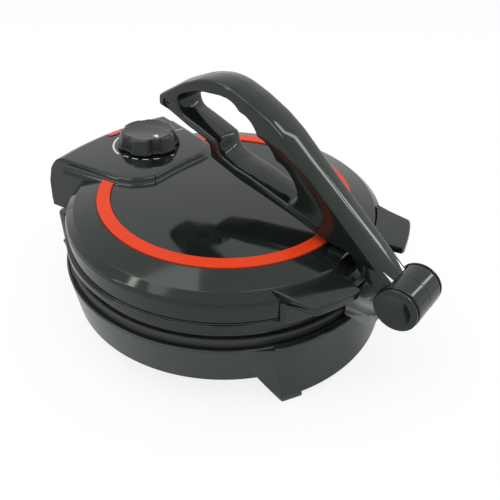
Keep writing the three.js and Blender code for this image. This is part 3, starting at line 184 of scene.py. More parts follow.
def rounded(points, radii, steps=5, guard=0.3):
    """An outline's corners rounded, with guard points that keep its straight runs flat."""
    outline = []
    count = len(points)
    for i, (corner, radius) in enumerate(zip(points, radii)):
        before, here, after = (Vector(points[k]) for k in (i - 1, i, (i + 1) % count))
        back, on = (before - here), (after - here)
        room_left = 0.48 * min(back.length, on.length)
        back, on = back.normalized(), on.normalized()
        half = back.angle(on) / 2
        if radius <= 0:
            outline.append(here)
            continue
        straight = half > 1.56
        reach = 0.3 * room_left if straight else min(radius / math.tan(half), room_left)
        edge = min(guard, room_left - reach + 0.02)
        outline.append(here + back * (reach + edge))
        for k in range(steps + 1):
            share = k / steps
            if straight:
                outline.append(here + back * reach * (1 - share) + on * reach * share)
                continue
            centre = here + (back + on).normalized() * (reach * math.tan(half) / math.sin(half))
            start, end = here + back * reach - centre, here + on * reach - centre
            sweep = math.pi - 2 * half
            bent = (start * math.sin((1 - share) * sweep) + end * math.sin(share * sweep)) / math.sin(sweep)
            outline.append(centre + bent)
        outline.append(here + on * (reach + edge))
    return outline


def kept_mesh(holder):
    """What an object's modifiers make, as a plain mesh, with the object removed."""
    result = bpy.data.meshes.new_from_object(holder.evaluated_get(bpy.context.evaluated_depsgraph_get()))
    holder.modifiers.clear()
    bpy.data.objects.remove(holder)
    return result


def run_tree(name, tree, values, source=None):
    """Runs a node tree once and keeps the mesh that it makes."""
    holder = linked(name, source or bpy.data.meshes.new(name))
    modifier = holder.modifiers.new("shape", "NODES")
    modifier.node_group = tree
    sockets = {item.name: item.identifier for item in tree.interface.items_tree if item.in_out == "INPUT"}
    for label, value in values.items():
        modifier[sockets[label]] = value
    return kept_mesh(holder)


def new_tree(name, *sockets):
    tree = bpy.data.node_groups.new(name, "GeometryNodeTree")
    for label, kind in sockets:
        tree.interface.new_socket(label, in_out="INPUT", socket_type=f"NodeSocket{kind}")
    tree.interface.new_socket("Geometry", in_out="OUTPUT", socket_type="NodeSocketGeometry")
    start, end = tree.nodes.new("NodeGroupInput"), tree.nodes.new("NodeGroupOutput")

    def add(kind, links=(), values=None, **settings):
        return wired(tree, f"GeometryNode{kind}", links, values, **settings)
    return tree, start, end, add


def end_tree(tree, start, end, add, last):
    real = add("RealizeInstances", [("Geometry", last)])
    coloured = add("SetMaterial", [("Geometry", real.outputs[0]), ("Material", start.outputs["Material"])])
    tree.links.new(coloured.outputs[0], end.inputs["Geometry"])
    return tree


def sweep_tree(name, curve, *sockets):
    """A tree that carries a section, drawn as a loop of edges, along a round curve."""
    tree, start, end, add = new_tree(name, ("Geometry", "Geometry"), *sockets, ("Material", "Material"))
    section = add("MeshToCurve", [("Mesh", start.outputs["Geometry"])])
    path = add(curve, [(label, start.outputs[label]) for label, _ in sockets])
    swept = add("CurveToMesh", [
        ("Curve", path.outputs["Curve"]), ("Profile Curve", section.outputs["Curve"])], {"Fill Caps": True})
    sealed = add("MergeByDistance", [("Geometry", swept.outputs["Mesh"])], {"Distance": 1e-6})
    return end_tree(tree, start, end, add, sealed.outputs["Geometry"])


circle_inputs = (("Radius", "Float"), ("Resolution", "Int"))
wheel = sweep_tree("turned_on_a_wheel", "CurvePrimitiveCircle", *circle_inputs)


def moved(mesh, x, y, z):
    mesh.transform(Matrix.Translation((x * MM, y * MM, z * MM)))
    return mesh


def closed_loop(name, points):
    """A flat loop of edges through points in millimetres."""
    loop = bpy.data.meshes.new(name)
    loop.from_pydata([(x * MM, y * MM, 0) for x, y in points],
                     [(i, (i + 1) % len(points)) for i in range(len(points))], [])
    return loop


def turned(name, profile, material, sides=192):
    """A section of (radius, height) pairs in millimetres turned about the cooker's middle."""
    wheel_radius = 100
    mesh = run_tree(name, wheel, {"Radius": wheel_radius * MM, "Resolution": sides, "Material": material},
                    closed_loop(name, [(x - wheel_radius, -z) for x, z in profile]))
    return moved(mesh, 0, middle, 0)


def tidied(mesh, crease=32):
    """Doubles merged, faces turned outwards, and only real edges left sharp."""
    work = bmesh.new()
    work.from_mesh(mesh)
    bmesh.ops.remove_doubles(work, verts=work.verts, dist=2e-6)
    bmesh.ops.recalc_face_normals(work, faces=work.faces)
    work.to_mesh(mesh)
    work.free()
    mesh.shade_smooth()
    mesh.set_sharp_from_angle(angle=math.radians(crease))
    return mesh


def stand(name, mesh, material, body, slot, *replaced, crease=32):
    """Puts a finished mesh in the scene, on its body and in place of its CAD nodes."""
    if not mesh.materials:
        mesh.materials.append(material)
    thing = linked(name, tidied(mesh, crease))
    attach(thing, body)
    if replaced:
        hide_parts(*replaced)
    return thing


def faces_mesh(name, points, faces):
    """A mesh from points in millimetres about the cooker's middle."""
    mesh = bpy.data.meshes.new(name)
    mesh.from_pydata([(x * MM, (y + middle) * MM, z * MM) for x, y, z in points], [], faces)
    return mesh


def lofted(name, levels, cap=None):
    """A closed skin through outlines of as many points each, with both ends capped."""
    count = len(levels[0])
    points = [point for level in levels for point in level]
    last = len(points) - count
    faces = []
    for first in (0, last):
        faces += [tuple(first + i for i in piece) for piece in (cap or [range(count)])]
    for start in range(0, len(points) - count, count):
        for i in range(count):
            on = (i + 1) % count
            faces.append((start + i, start + on, start + count + on, start + count + i))
    return faces_mesh(name, points, faces)


def merged(name, *meshes):
    """Several meshes put in one, side by side."""
    work = bmesh.new()
    for mesh in meshes:
        work.from_mesh(mesh)
    whole = bpy.data.meshes.new(name)
    work.to_mesh(whole)
    work.free()
    return whole


def cut(mesh, *tools, operation="DIFFERENCE"):
    """A mesh with other meshes cut out of it."""
    holder = linked("blank", tidied(mesh))
    blades = [linked(f"blade_{i}", tidied(tool)) for i, tool in enumerate(tools)]
    for blade in blades:
        modifier = holder.modifiers.new(blade.name, "BOOLEAN")
        modifier.operation = operation
        modifier.solver = "EXACT"
        modifier.object = blade
    result = kept_mesh(holder)
    for blade in blades:
        bpy.data.objects.remove(blade)
    return result


def oval(x, y, half_x, half_y, sides):
    turns = [2 * math.pi * k / sides for k in range(sides)]
    return [(x + half_x * math.cos(turn), y + half_y * math.sin(turn)) for turn in turns]


def at_height(outline, z):
    return [(x, y, z) for x, y in outline]


def disc(name, radius, low, high, x=0, y=0, sides=96):
    outline = oval(x, y, radius, radius, sides)
    return lofted(name, [at_height(outline, z) for z in (low, high)])


def polar(radius, angle):
    return radius * math.cos(math.radians(angle)), radius * math.sin(math.radians(angle))


wall_bottom, wall_top, deck_top = 22.5, 59, 57.7
base_radius, lip_radius, deck_radius = 139.5, 141.5, 111.8
round_wall = turned("round_wall", rounded([
    (base_radius, wall_bottom), (144, wall_top), (lip_radius, wall_top), (lip_radius, deck_top),
    (deck_radius, deck_top), (deck_radius, 55.2), (lip_radius - 0.2, 55.2), (137, 25), (137, wall_bottom),
], [1.2, 1.1, 0.6, 0.3, 0.6, 0.3, 0.5, 0.3, 0.5], 4), base_black_painted_sheen)


def rounded_box(name, half_width, front, rear, low, high, corner, edge):
    """A box with upright corners of one radius and its two rims of another."""
    rims = ((0, edge), (0.3 * edge, 0.3 * edge), (edge, 0))
    levels = []
    for z, inset in [(low + r, inset) for r, inset in rims] + [(high - r, inset) for r, inset in rims[::-1]]:
        x, near, far = half_width - inset, front + inset, rear - inset
        levels.append(at_height(rounded([(-x, near), (x, near), (x, far), (-x, far)], [corner] * 4, 6), z))
    return lofted(name, levels)


box_half, box_front, box_rear, box_low, box_high, box_wall = 70, 70, 168, 14, 51.5, 2.5
box_shell = cut(rounded_box("rear_box", box_half, box_front, box_rear, box_low, box_high, 7, 1.6),
                disc("under_room", 137.2, -10, 25), disc("upper_room", 140, 24, 70))
box_room = cut(rounded_box("box_room", box_half - box_wall, box_front + box_wall, box_rear - box_wall,
                           box_low + box_wall, box_high - box_wall, 5, 0.6),
               disc("wall_band", 139.6, -10, 24), disc("wall_band_high", 142, 23, 70))
box_shell = cut(box_shell, box_room)

apron_angle, apron_radius, apron_top = 34.5, 147.6, 59.4


def share_of(value, start, span):
    """How far a value has come from a start over a span, from 0 to 1."""
    return max(0.0, min(1.0, (value - start) / span))


def leg_turn(z):
    """The angle between the cooker's front and the outer edge of a leg, at a height."""
    return apron_angle - 3 + 3 * share_of(z, 1, 56.7)


def arc_band(name, profile, steps=72, end_inset=1.0):
    """A section of (radius, height) pairs carried from leg to leg, with softened ends."""
    middle_profile = sum((Vector(p) for p in profile), Vector((0, 0))) / len(profile)
    levels = []
    turn = math.degrees(1.2 / middle_profile.x)
    start = [(-apron_angle, end_inset), (0.3 * turn - apron_angle, 0.3 * end_inset)]
    between = [(turn - apron_angle + 2 * (apron_angle - turn) * k / steps, 0) for k in range(steps + 1)]
    for angle, inset in start + between + [(-angle, inset) for angle, inset in start[::-1]]:
        points = shrunk(profile, inset) if inset else profile
        levels.append([(*polar(r, -90 + angle * leg_turn(z) / apron_angle), z) for r, z in points])
    return lofted(name, levels)


def shrunk(outline, inset):
    """A closed outline with every point moved inwards along its normal."""
    count = len(outline)
    area = sum(outline[i - 1][0] * outline[i][1] - outline[i][0] * outline[i - 1][1] for i in range(count))
    side = 1 if area > 0 else -1
    moved = []
    for i in range(count):
        along = (Vector(outline[(i + 1) % count]) - Vector(outline[i - 1])).normalized()
        moved.append(Vector(outline[i]) + Vector((-along.y, along.x)) * inset * side)
    return moved


apron_band = arc_band("apron_band", rounded([
    (142, 53.7), (145.6, 53.7), (148.8, 6.2), (150.8, 6.2), (apron_radius, apron_top),
    (141.7, apron_top), (142, 57)], [0, 0.4, 0.6, 0.6, 1.6, 0.4, 0], 4))


def front_leg(side):
    """A leg at one end of the apron and flush with it, whose flank runs back under the round wall."""
    width = 18.5
    levels = []
    for z, soft in ((0.6, 0.8), (0.8, 0.3), (1.4, 0), (8, 0), (15, 0), (22.5, 0), (34, 0), (46, 0),
                    (57.6, 0), (58.3, 0.5)):
        low, high = share_of(z, 0.6, 21.9), max(0.0, (z - wall_bottom) / 35.5)
        front = apron_radius + 3.2 * (apron_top - max(z, 5.6)) / 53.2 - 0.06
        back = apron_radius - 9.1 * low + 3.5 * high
        near = -90 + side * (leg_turn(z) - 0.03)
        far = near - side * math.degrees(width / front)
        flank = near + side * (0.4 + 6.1 * low + 7 * high)
        corners = [polar(back + soft, flank - side * soft / 2), polar(front - soft, near - side * soft / 3),
                   polar(front - soft, far + side * soft / 3), polar(back + soft, far)]
        levels.append(at_height(rounded(corners, [0.5, 1.4, 1.4, 0.5], 4), z))
    return lofted("front_leg", levels)


def pad_boss(side):
    """The short post behind a leg's front face that stands on the rubber pad."""
    return lofted("pad_boss", [at_height(oval(side * 68.1, lean - 127.95, radius, radius, 32), z)
                               for z, radius, lean in ((2.0, 4.6, 0), (2.3, 5.0, 0), (24, 5.6, 4))])


def rear_foot(side):
    levels = []
    for z, inset in ((0.6, 2.8), (0.8, 2.3), (1.4, 1.9), (14.2, 0)):
        half = 7.5 - inset
        corners = [(side * 62.5 + a * half, 160.5 + b * half)
                   for a, b in ((-1, -1), (1, -1), (1, 1), (-1, 1))]
        levels.append(at_height(rounded(corners, [2] * 4, 4), z))
    return lofted("rear_foot", levels)


base_feet = [shape(side) for shape in (front_leg, pad_boss, rear_foot) for side in (-1, 1)]
stand("base_shell_visual", merged("base_shell_visual", round_wall, box_shell, apron_band, *base_feet),
      base_black_painted_sheen, "base", "gloss_black_plastic", "base_shell")

# Rim ring: a band of matte black plastic, stiff to heat, which sits on the deck
# around the lower plate and is held by its own snug fit inside the base's lip.
matte_black = finish("matte_black", (0.011, 0.012, 0.012), (0.022, 0.023, 0.023), (0.42, 0.56),
                     60, 2200, 0.03)
rim_inner, rim_radius = 124.5, 140
rim_section = rounded([(rim_inner, 58), (rim_radius, 58), (rim_radius, 66.4), (rim_inner, 66.4)],
                      [0.6, 1.2, 2.2, 1], 5)
stand("base_rim_visual", turned("base_rim_visual", rim_section, matte_black), matte_black, "base",
      "matte_black_plastic", "base_rim_ring")

# Hot plates: cast aluminium with a grey non-stick coat, faced off on a lathe.
# Each has a fine round groove in its face and is held by three studs behind it.
coated = finish("coated_plate", (0.045, 0.046, 0.047), (0.085, 0.086, 0.088), (0.38, 0.5),
                70, 1600, 0.05, 0.55)
plate_radius, flange_radius, groove_radius = 123.8, 112.8, 60
for name, body, face, down in (("lower", "base", 66.2, -1), ("upper", "lid", 67.1, 1)):
    flange, back_face = face + 8.2 * down, face + 6 * down
    section = [(0, face), (plate_radius, face), (plate_radius, flange), (flange_radius, flange),
               (flange_radius, back_face), (0, back_face)]
    outline = rounded(section, [0, 1.1, 0.4, 0.4, 0.6, 0], 4)
    outline[1:1] = [(groove_radius + reach, face + depth * down) for reach, depth in (
        (-0.9, 0), (-0.5, 0.12), (-0.2, 0.34), (0.2, 0.34), (0.5, 0.12), (0.9, 0))]
    stand(f"{name}_plate_visual", turned(f"{name}_plate_visual", outline, coated, 160),
          coated, body, "coated_plate", f"{name}_hot_plate")

# Control housing: part of the gloss black lid moulding, hollow, which carries
# the thermostat and lamps. Its rear wall bows out and leans in towards the top,
# its front corners are cut off, and it stands on the lid with a low step.
lid_bottom = 67.3
housing_low, housing_top = 61, 116.5
housing_half, housing_flare, housing_front, housing_depth = 67.5, 4.5, 58, 90
rear_at_top, rear_swell, rear_limit, rear_bow = 148, 20, 172.2, 9


def housing_plan(z, grow=0.0):
    """The housing's outline at a height: its rear bows out, its front corners are cut off."""
    flare = housing_flare * (1 - (z - housing_low) / (housing_top - housing_low))
    lean = share_of(z, 85, 31.5)
    rear = rear_at_top + rear_swell * (1 - lean ** 2) ** 0.84 - (1 if z < 67 else 0)
    swell = share_of(z, 68, 40)
    bow = rear_bow * swell * swell * (3 - 2 * swell)
    rear = min(rear, rear_limit - bow)
    half = housing_half + flare + grow
    points, radii = [], []
    for width in (-0.96, -0.85, -0.7, -0.5, -0.25, 0, 0.25, 0.5, 0.7, 0.85, 0.96):
        points.append((width * half, rear + grow + bow * (1 - width ** 2)))
        radii.append(25)
    corners = [(half, rear + grow, 9)]
    for x_share, y_share, flare_share, radius in (
            (0.815, 0.224, 0.5, 12), (0.745, 0.110, 0, 5), (0.615, 0.031, 0, 4), (0.474, -0.027, 0, 3),
            (0.170, -0.012, 0, 60)):
        corners.append((x_share * housing_half + grow + flare_share * flare,
                        housing_front + y_share * housing_depth - grow, radius))
    for side, order in ((1, corners), (-1, corners[::-1])):
        points += [(side * x, y) for x, y, _ in order]
        radii += [radius for _, _, radius in order]
    return rounded(points[::-1], radii[::-1], 3, 0.1)


def housing_solid(name, inset, low, high, edges):
    """The housing between two heights, with the softened rim that edges lists as drop and inset."""
    heights = [low + (high - 6 - low) * k / 15 for k in range(16)]
    levels = [(z, max(z, housing_low), -inset) for z in heights]
    levels += [(high - drop, high - drop, -inset - shift) for drop, shift in edges]
    return lofted(name, [at_height(housing_plan(min(at, housing_top - 0.05), grow), z)
                         for z, at, grow in levels])


housing_edges = [(5, 0), (4, 0.1), (3, 0.3), (2.3, 0.5), (1.7, 0.8), (1.1, 1.15), (0.6, 1.6),
                 (0.25, 2.15), (0.05, 2.8), (0, 3.5)]
housing_room = housing_solid("housing_room", 2.6, 52, housing_top - 2.6, [(1.5, 0), (0.3, 1.2), (0, 2.2)])
housing_shell = cut(housing_solid("housing_shell", 0, housing_low, housing_top, housing_edges),
                    disc("over_rim", 142, 40, lid_bottom), disc("over_wall", 144.8, 40, 59.8))
housing_shell = cut(housing_shell, cut(housing_room, disc("kept_round", 138.3, 30, 78.2)))

# The housing's foot stands on the lid as a low step, one wall thicker
foot_levels, foot_rear = [], 137
for z, grow in ((106.5, 4.2), (110, 3.5), (111.6, 2.9), (112.4, 2.4), (112.9, 1.8), (113.2, 1.0),
                (113.35, 0.1), (113.35, -1.4)):
    foot_levels.append([(x, min(y, foot_rear), z) for x, y in housing_plan(z, grow)])
housing_foot = cut(lofted("housing_foot", foot_levels), housing_solid("foot_room", 1.2, 100, 115, [(0, 0)]))
stand("control_housing_visual", merged("control_housing_visual", housing_shell, housing_foot), gloss_black,
      "lid", "gloss_black_plastic", "lid_shell")

# Lid cover: one gloss black moulding, hollow below. Its top falls away outside
# the red ring to a crease, bends down over a bevel and ends in a bead and band.
lid_top, crown_edge, lid_wall = 111, 106, 2.8
ring_outer, ring_inner = 111, 99.8
cover_section = rounded([
    (0, lid_top - lid_wall), (ring_outer, lid_top - lid_wall), (128.2, crown_edge - lid_wall),
    (134.7, 99.4), (135.7, 96.4), (135.7, 78.1), (deck_radius, 78.1), (deck_radius, 75.6),
    (rim_inner, 75.6), (rim_inner, lid_bottom), (137, lid_bottom), (137, 74.8), (141, 74.8), (141, 81.8),
    (138.5, 81.8), (138.5, 97.4), (137.4, 100.8), (131, crown_edge), (ring_outer + 0.35, lid_top),
    (ring_outer + 0.35, 109.7), (ring_inner - 0.35, 109.7), (ring_inner - 0.35, lid_top), (0, lid_top),
], [0, 0, 0, 0, 0, 0, 0.5, 0.5, 0.5, 0.8, 1.2, 0.5, 1.9, 2.4, 0.7, 2.2, 2.4, 1.6, 0.35, 0, 0, 0.35, 0], 5)
lid_cover = turned("lid_cover", cover_section, gloss_black, 224)
lid_cover = cut(lid_cover, cut(housing_solid("cover_room", 2.4, 52, housing_top, [(0, 0)]),
                               disc("kept_ledge", 138.3, 30, 78.2)))
stand("lid_cover_visual", merged("lid_cover_visual", lid_cover), gloss_black, "lid", "gloss_black_plastic",
      "lid_shell")


# Front tab: two wings of the same moulding beside the handle's slot, rounded at
# the front. Their top is level with the crease, and a rib goes down the wall.
tab_front, tab_under, rib_bottom = 161.0, 98.6, 77
wing_outline = rounded([
    (133, crown_edge), (tab_front, crown_edge), (tab_front + 0.4, tab_under), (143, tab_under),
    (142, rib_bottom), (136.5, rib_bottom), (136.5, 97)], [0.3, 1.8, 1.4, 2.4, 1.2, 0.4, 0.5], 5)


def wing(side):
    """One wing, as sections side by side from the handle's slot to its outer end."""
    steps, corner = 44, 6.0
    slot_at_wall, end_at_wall = 24.8, 74.5
    levels = []
    end_reaches, end_insets = [0, 0.25, 0.8, 1.6], [1.5, 0.7, 0.2, 0]
    ends, last_reach = len(end_reaches), end_reaches[-1]
    reaches = end_reaches + [None] * steps + [-reach for reach in end_reaches[::-1]]
    insets = end_insets + [0] * steps + end_insets[::-1]
    for k, (reach, inset) in enumerate(zip(reaches, insets)):
        section = shrunk(wing_outline, inset) if inset else wing_outline
        level = []
        for r, z in section:
            slot = slot_at_wall + 7.6 * share_of(r, 134, 27) + 0.5 * corner * max(0.0, (r - 157.5) / 3.5) ** 2
            outer_y = -math.sqrt(max(r * r - 75.5 ** 2, 1))
            outer = end_at_wall + 1.5 * share_of(outer_y, -144, 38)
            if r > tab_front - corner:
                outer -= corner - math.sqrt(max(corner ** 2 - (r - tab_front + corner) ** 2, 0.0))
            low_angle, high_angle = math.asin(slot / r), math.asin(min(outer / r, 0.999))
            if reach is None:
                share = (k - ends) / (steps - 1)
                low_angle, high_angle = low_angle + last_reach / r, high_angle - last_reach / r
                angle = low_angle + (high_angle - low_angle) * share
            else:
                angle = (low_angle if k < ends else high_angle) + reach / r
            level.append((side * r * math.sin(angle), -r * math.cos(angle), z))
        levels.append(level)
    flat = [Vector((r, z, 0)) for r, z in wing_outline]
    return lofted("wing", levels, tessellate_polygon([flat]))


stand("front_tab_visual", merged("front_tab_visual", wing(-1), wing(1)), gloss_black, "lid",
      "gloss_black_plastic", "lid_shell")

# Trim ring: red plastic let into the groove around the lid's top. It is open
# at the rear, where both of its ends run up to the housing.
red_plastic = finish("red_plastic", (0.72, 0.045, 0.008), (0.86, 0.065, 0.014), (0.25, 0.36), 50, 1500,
                     0.006, gloss=0.14)
arc_inputs = (*circle_inputs, ("Start Angle", "Float"), ("Sweep Angle", "Float"))
arc = sweep_tree("ring_let_in", "CurveArc", *arc_inputs)
ring_section = rounded([(ring_inner, 110), (ring_outer, 110), (ring_outer, 112.2), (ring_inner, 112.2)],
                       [0.2, 0.2, 0.5, 0.5], 4)
ring_middle = 105
ring_mesh = run_tree("trim_ring", arc, {
    "Radius": ring_middle * MM, "Resolution": 220, "Start Angle": math.radians(122),
    "Sweep Angle": math.radians(296), "Material": red_plastic},
    closed_loop("ring_loop", [(x - ring_middle, -z) for x, z in ring_section]))
ring_mesh = cut(moved(ring_mesh, 0, middle, 0), housing_solid("ring_room", -0.6, 100, housing_top, [(0, 0)]))
stand("trim_ring_visual", ring_mesh, red_plastic, "lid", "red_trim", "trim_ring")

# Press pad: a small gloss block glued on the lid's crown, under the handle's
# arm. Its edges are softened as those of a moulded block are.


def own_shape(node):
    """A copy of a CAD node's mesh in its place, without a material."""
    source = frame["nodes"][node]
    mesh = source.data.copy()
    mesh.transform(source.matrix_world)
    mesh.materials.clear()
    return mesh


def softened(name, node, material, body, slot, width=0.4, segments=2):
    """A CAD node's own shape with its edges rounded, in place of the node."""
    mesh = own_shape(node)
    work = bmesh.new()
    work.from_mesh(mesh)
    bmesh.ops.remove_doubles(work, verts=work.verts, dist=2e-6)
    bmesh.ops.dissolve_limit(work, angle_limit=math.radians(1.5), verts=work.verts, edges=work.edges)
    work.to_mesh(mesh)
    work.free()
    holder = linked(name, mesh)
    bevel = holder.modifiers.new("edges", "BEVEL")
    bevel.width = width * MM
    bevel.segments = segments
    bevel.limit_method = "ANGLE"
    bevel.angle_limit = math.radians(35)
    bevel.miter_outer = "MITER_ARC"
    return stand(name, kept_mesh(holder), material, body, slot, node)


softened("press_pad_visual", "press_pad", gloss_black, "lid", "gloss_black_plastic", 0.8, 3)

# Lamps: two oval windows in coloured clear plastic, pressed into the housing's
# top from above, each over its own neon lamp.
red_lens, green_lens = (
    finish(name, low, high, (0.08, 0.14), 200, 1200, 0.004, clear_coat=0.6) for name, low, high in (
        ("red_lens", (0.55, 0.03, 0.015), (0.68, 0.05, 0.02)),
        ("green_lens", (0.02, 0.3, 0.17), (0.03, 0.38, 0.22))))
lamp_y, lens_half_length, lens_half_width = 151.5, 8, 3.6
lens_levels = ((113.6, -1.5), (116.2, -1.5), (116.62, -1.2), (116.8, 0), (117.15, 0), (117.4, -0.25),
               (117.6, -0.8), (117.75, -1.6), (117.82, -2.6))
for name, lamp_x, lens in (("red", 2.5, red_lens), ("green", 20.6, green_lens)):
    ovals = [at_height(oval(lamp_x, lamp_y, lens_half_length + grow, lens_half_width + grow, 48), z)
             for z, grow in lens_levels]
    stand(f"{name}_lamp_visual", lofted(f"{name}_lamp_visual", ovals), lens, "lid", f"{name}_lens",
          f"{name}_lamp_lens")

# Scale: white ink printed on the housing's top around the knob. It runs from
# two dots over four dashes into one line, with a short rule at its right.
white_ink = finish("white_ink", (0.72, 0.72, 0.7), (0.84, 0.84, 0.82), (0.45, 0.6), 300, 2500, 0.01)
knob_x, knob_y, ink_height = 9, 108, housing_top + 0.06
dashes, dashes_in, dashes_out, add = new_tree(
    "dashes_on_an_arc", *arc_inputs, ("Length", "Float"), ("Width", "Float"), ("Thickness", "Float"),
    ("Material", "Material"))
path = add("CurveArc", [(label, dashes_in.outputs[label]) for label, _ in arc_inputs])
spots = add("CurveToPoints", [("Curve", path.outputs["Curve"])], mode="EVALUATED")
size_of = wired(dashes, "ShaderNodeCombineXYZ", [
    ("X", dashes_in.outputs["Width"]), ("Y", dashes_in.outputs["Thickness"]),
    ("Z", dashes_in.outputs["Length"])])
dash = add("MeshCube", [("Size", size_of.outputs[0])])
stamped = add("InstanceOnPoints", [("Points", spots.outputs["Points"]), ("Instance", dash.outputs["Mesh"]),
                                   ("Rotation", spots.outputs["Rotation"])])
end_tree(dashes, dashes_in, dashes_out, add, stamped.outputs["Instances"])
scale_parts = []
for from_middle, start, sweep, count, length, thick in ((32.6, 186, 53.5, 4, 5.4, 0.8),
                                                        (33.9, 267, 3, 2, 1.1, 1.1)):
    marks = run_tree("scale_marks", dashes, {
        "Radius": from_middle * MM, "Resolution": count, "Start Angle": math.radians(start),
        "Sweep Angle": math.radians(sweep), "Length": length * MM, "Width": thick * MM,
        "Thickness": thick * MM, "Material": white_ink})
    marks.transform(Matrix.Diagonal((1, 1, 0.15, 1)))
    scale_parts.append(marks)
line_section = closed_loop("line_section", [(-0.9, -0.1), (0.9, -0.1), (0.9, 0.1), (-0.9, 0.1)])
scale_parts.append(run_tree("scale_line", arc, {
    "Radius": 34.2 * MM, "Resolution": 60, "Start Angle": math.radians(103),
    "Sweep Angle": math.radians(68), "Material": white_ink}, line_section))
for marks in scale_parts:
    moved(marks, knob_x, knob_y + middle, ink_height)
rule = lofted("rule", [[(49, 110.6, z), (49.3, 111.5, z), (56.3, 108.9, z), (56, 108, z)]
                       for z in (ink_height - 0.05, ink_height + 0.05)])
stand("printed_scale", merged("printed_scale", *scale_parts, rule), white_ink, "lid", "white_mark")

# Knob: a matte black moulding with six scooped flutes, pushed on the shaft
# of the thermostat. A white triangle is inlaid in its flat top.
knob_plastic = finish("knob_plastic", (0.007, 0.009, 0.008), (0.012, 0.014, 0.013), (0.17, 0.25), 80, 1500,
                      0.008, gloss=0.4, gloss_tint=(0.9, 1, 0.93))
knob_low, knob_foot, knob_taper, knob_sides = 117.7, 30, 4, 288


def knob_radius(height, angle):
    """The knob's radius: a tapered wall, scooped by six round flutes that lean inwards."""
    wall = knob_foot - knob_taper * max(0.0, (height - 1.6) / 11.1)
    scoop_radius, scoop_middle = 12, 35.5 + 0.2 * (16.1 - height)
    turn = (angle + math.pi / 6) % (math.pi / 3) - math.pi / 6
    across = scoop_middle * math.sin(turn)
    if abs(across) >= scoop_radius:
        return wall
    scooped = scoop_middle * math.cos(turn) - math.sqrt(scoop_radius ** 2 - across ** 2)
    blend = 0.5
    mixed = share_of(scooped - wall, -blend, 2 * blend)
    return scooped * (1 - mixed) + wall * mixed - blend * mixed * (1 - mixed)


knob_levels = []
turns = [2 * math.pi * k / knob_sides for k in range(knob_sides)]
for height, inset in ((0, 0.5), (0.15, 0.15), (0.5, 0), (1.5, 0), (1.7, 0.1), (4, 0), (7, 0), (10, 0),
                      (12.3, 0), (12.9, 0.08), (13.5, 0.35), (14, 0.8), (14.35, 1.5), (14.5, 2.3),
                      (14.5, 3)):
    knob_levels.append([(knob_x + (knob_radius(height, a) - inset) * math.cos(a),
                         knob_y + (knob_radius(height, a) - inset) * math.sin(a), knob_low + height)
                        for a in turns])
knob_rim = knob_levels[-1]
for share, dip in ((0.99, 0.1), (0.96, 0.25)):
    knob_levels.append([(knob_x + (x - knob_x) * share, knob_y + (y - knob_y) * share, z - dip)
                        for x, y, z in knob_rim])
knob_mesh = lofted("knob_visual", knob_levels)
knob_mesh = cut(knob_mesh, disc("knob_hollow", 13, 110, knob_low + 6, knob_x, knob_y, 48),
                disc("knob_bore", 3.3, 118, knob_low + 11, knob_x, knob_y, 24))
stand("knob_visual", knob_mesh, knob_plastic, "knob", "matte_black_plastic", "knob")
pointer_points = [Vector((22, 0)), Vector((15, 2.6)), Vector((15, -2.6))]
pointer_turn = Matrix.Rotation(math.radians(-105), 2)
pointer_outline = [pointer_turn @ p for p in rounded(pointer_points, [0.5] * 3, 3, 0.1)]
pointer_mesh = lofted("knob_pointer_visual", [
    [(knob_x + x, knob_y + y, knob_low + z) for x, y in pointer_outline] for z in (13.6, 14.33)])
stand("knob_pointer_visual", pointer_mesh, white_ink, "knob", "white_mark", "knob_pointer")

# Handle bracket: a pale zinc casting screwed to the base. Its block carries two
# ears beside the barrel, and a tongue from its middle holds the axle.
zinc = finish("cast_zinc", (0.22, 0.235, 0.24), (0.31, 0.325, 0.33), (0.42, 0.55), 120, 1300, 0.05, 0.6)
BOX_FACES = [(0, 1, 3, 2), (4, 6, 7, 5), (0, 4, 5, 1), (2, 3, 7, 6), (0, 2, 6, 4), (1, 5, 7, 3)]


def boxes_beside(near, far, ys, zs):
    """Two boxes, left and right of the middle, between two distances from it."""
    return [faces_mesh("box", [(x * side, y, z) for x in (near, far) for y in ys for z in zs], BOX_FACES)
            for side in (-1, 1)]


block = own_shape("handle_bracket")
for near, far, ys, zs in ((8.2, 31, (-200, -130), (76, 111)), (20.6, 31, (-200, -163.2), (50, 110)),
                          (23.4, 32, (-210, -130), (40, 120))):
    block = cut(block, *boxes_beside(near, far, ys, zs))
stand("handle_bracket_visual", block, zinc, "base", "cast_bracket", "handle_bracket")

# Handle: two gloss black half shells, screwed together along the seam that runs
# down the middle of its domed back. The rear end is a loop with finger scoops.
axle_y, axle_z = -180, 90.5
reach, rise = 247.5, 124
back = [(0.395, 0.689), (0.452, 0.784), (0.513, 0.862), (0.591, 0.935), (0.668, 0.988), (0.729, 1.0),
        (0.794, 0.976), (0.872, 0.910), (0.945, 0.822), (0.986, 0.773)]
belly = [(0.990, 0.686), (0.941, 0.669), (0.847, 0.600), (0.774, 0.559), (0.756, 0.535), (0.752, 0.445),
         (0.623, 0.363), (0.517, 0.318), (0.403, 0.268), (0.262, 0.192)]
neck = [(50.3, 23.8), (44.9, 21.7), (39.0, 12.5), (31.7, 7.0), (20.9, -0.7), (8, -6), (4, 10)]
arm_outline = rounded(
    [(10.4, 14.3)] + [(y * reach, z * rise) for y, z in back + belly] + neck,
    [2] + [60] * 9 + [4.5, 4.5, 20, 16, 5, 4.5, 5.5, 40, 40, 40, 30, 14, 8, 10, 12, 10, 0, 0], 6, 0.5)
fingers = [(0.884, 0.788), (0.868, 0.812), (0.819, 0.853), (0.774, 0.878), (0.705, 0.890)]
scoops = [(0.652, 0.894, 0.631, 0.833), (0.578, 0.820, 0.556, 0.714), (0.505, 0.702, 0.483, 0.608),
          (0.424, 0.588, 0.397, 0.461)]
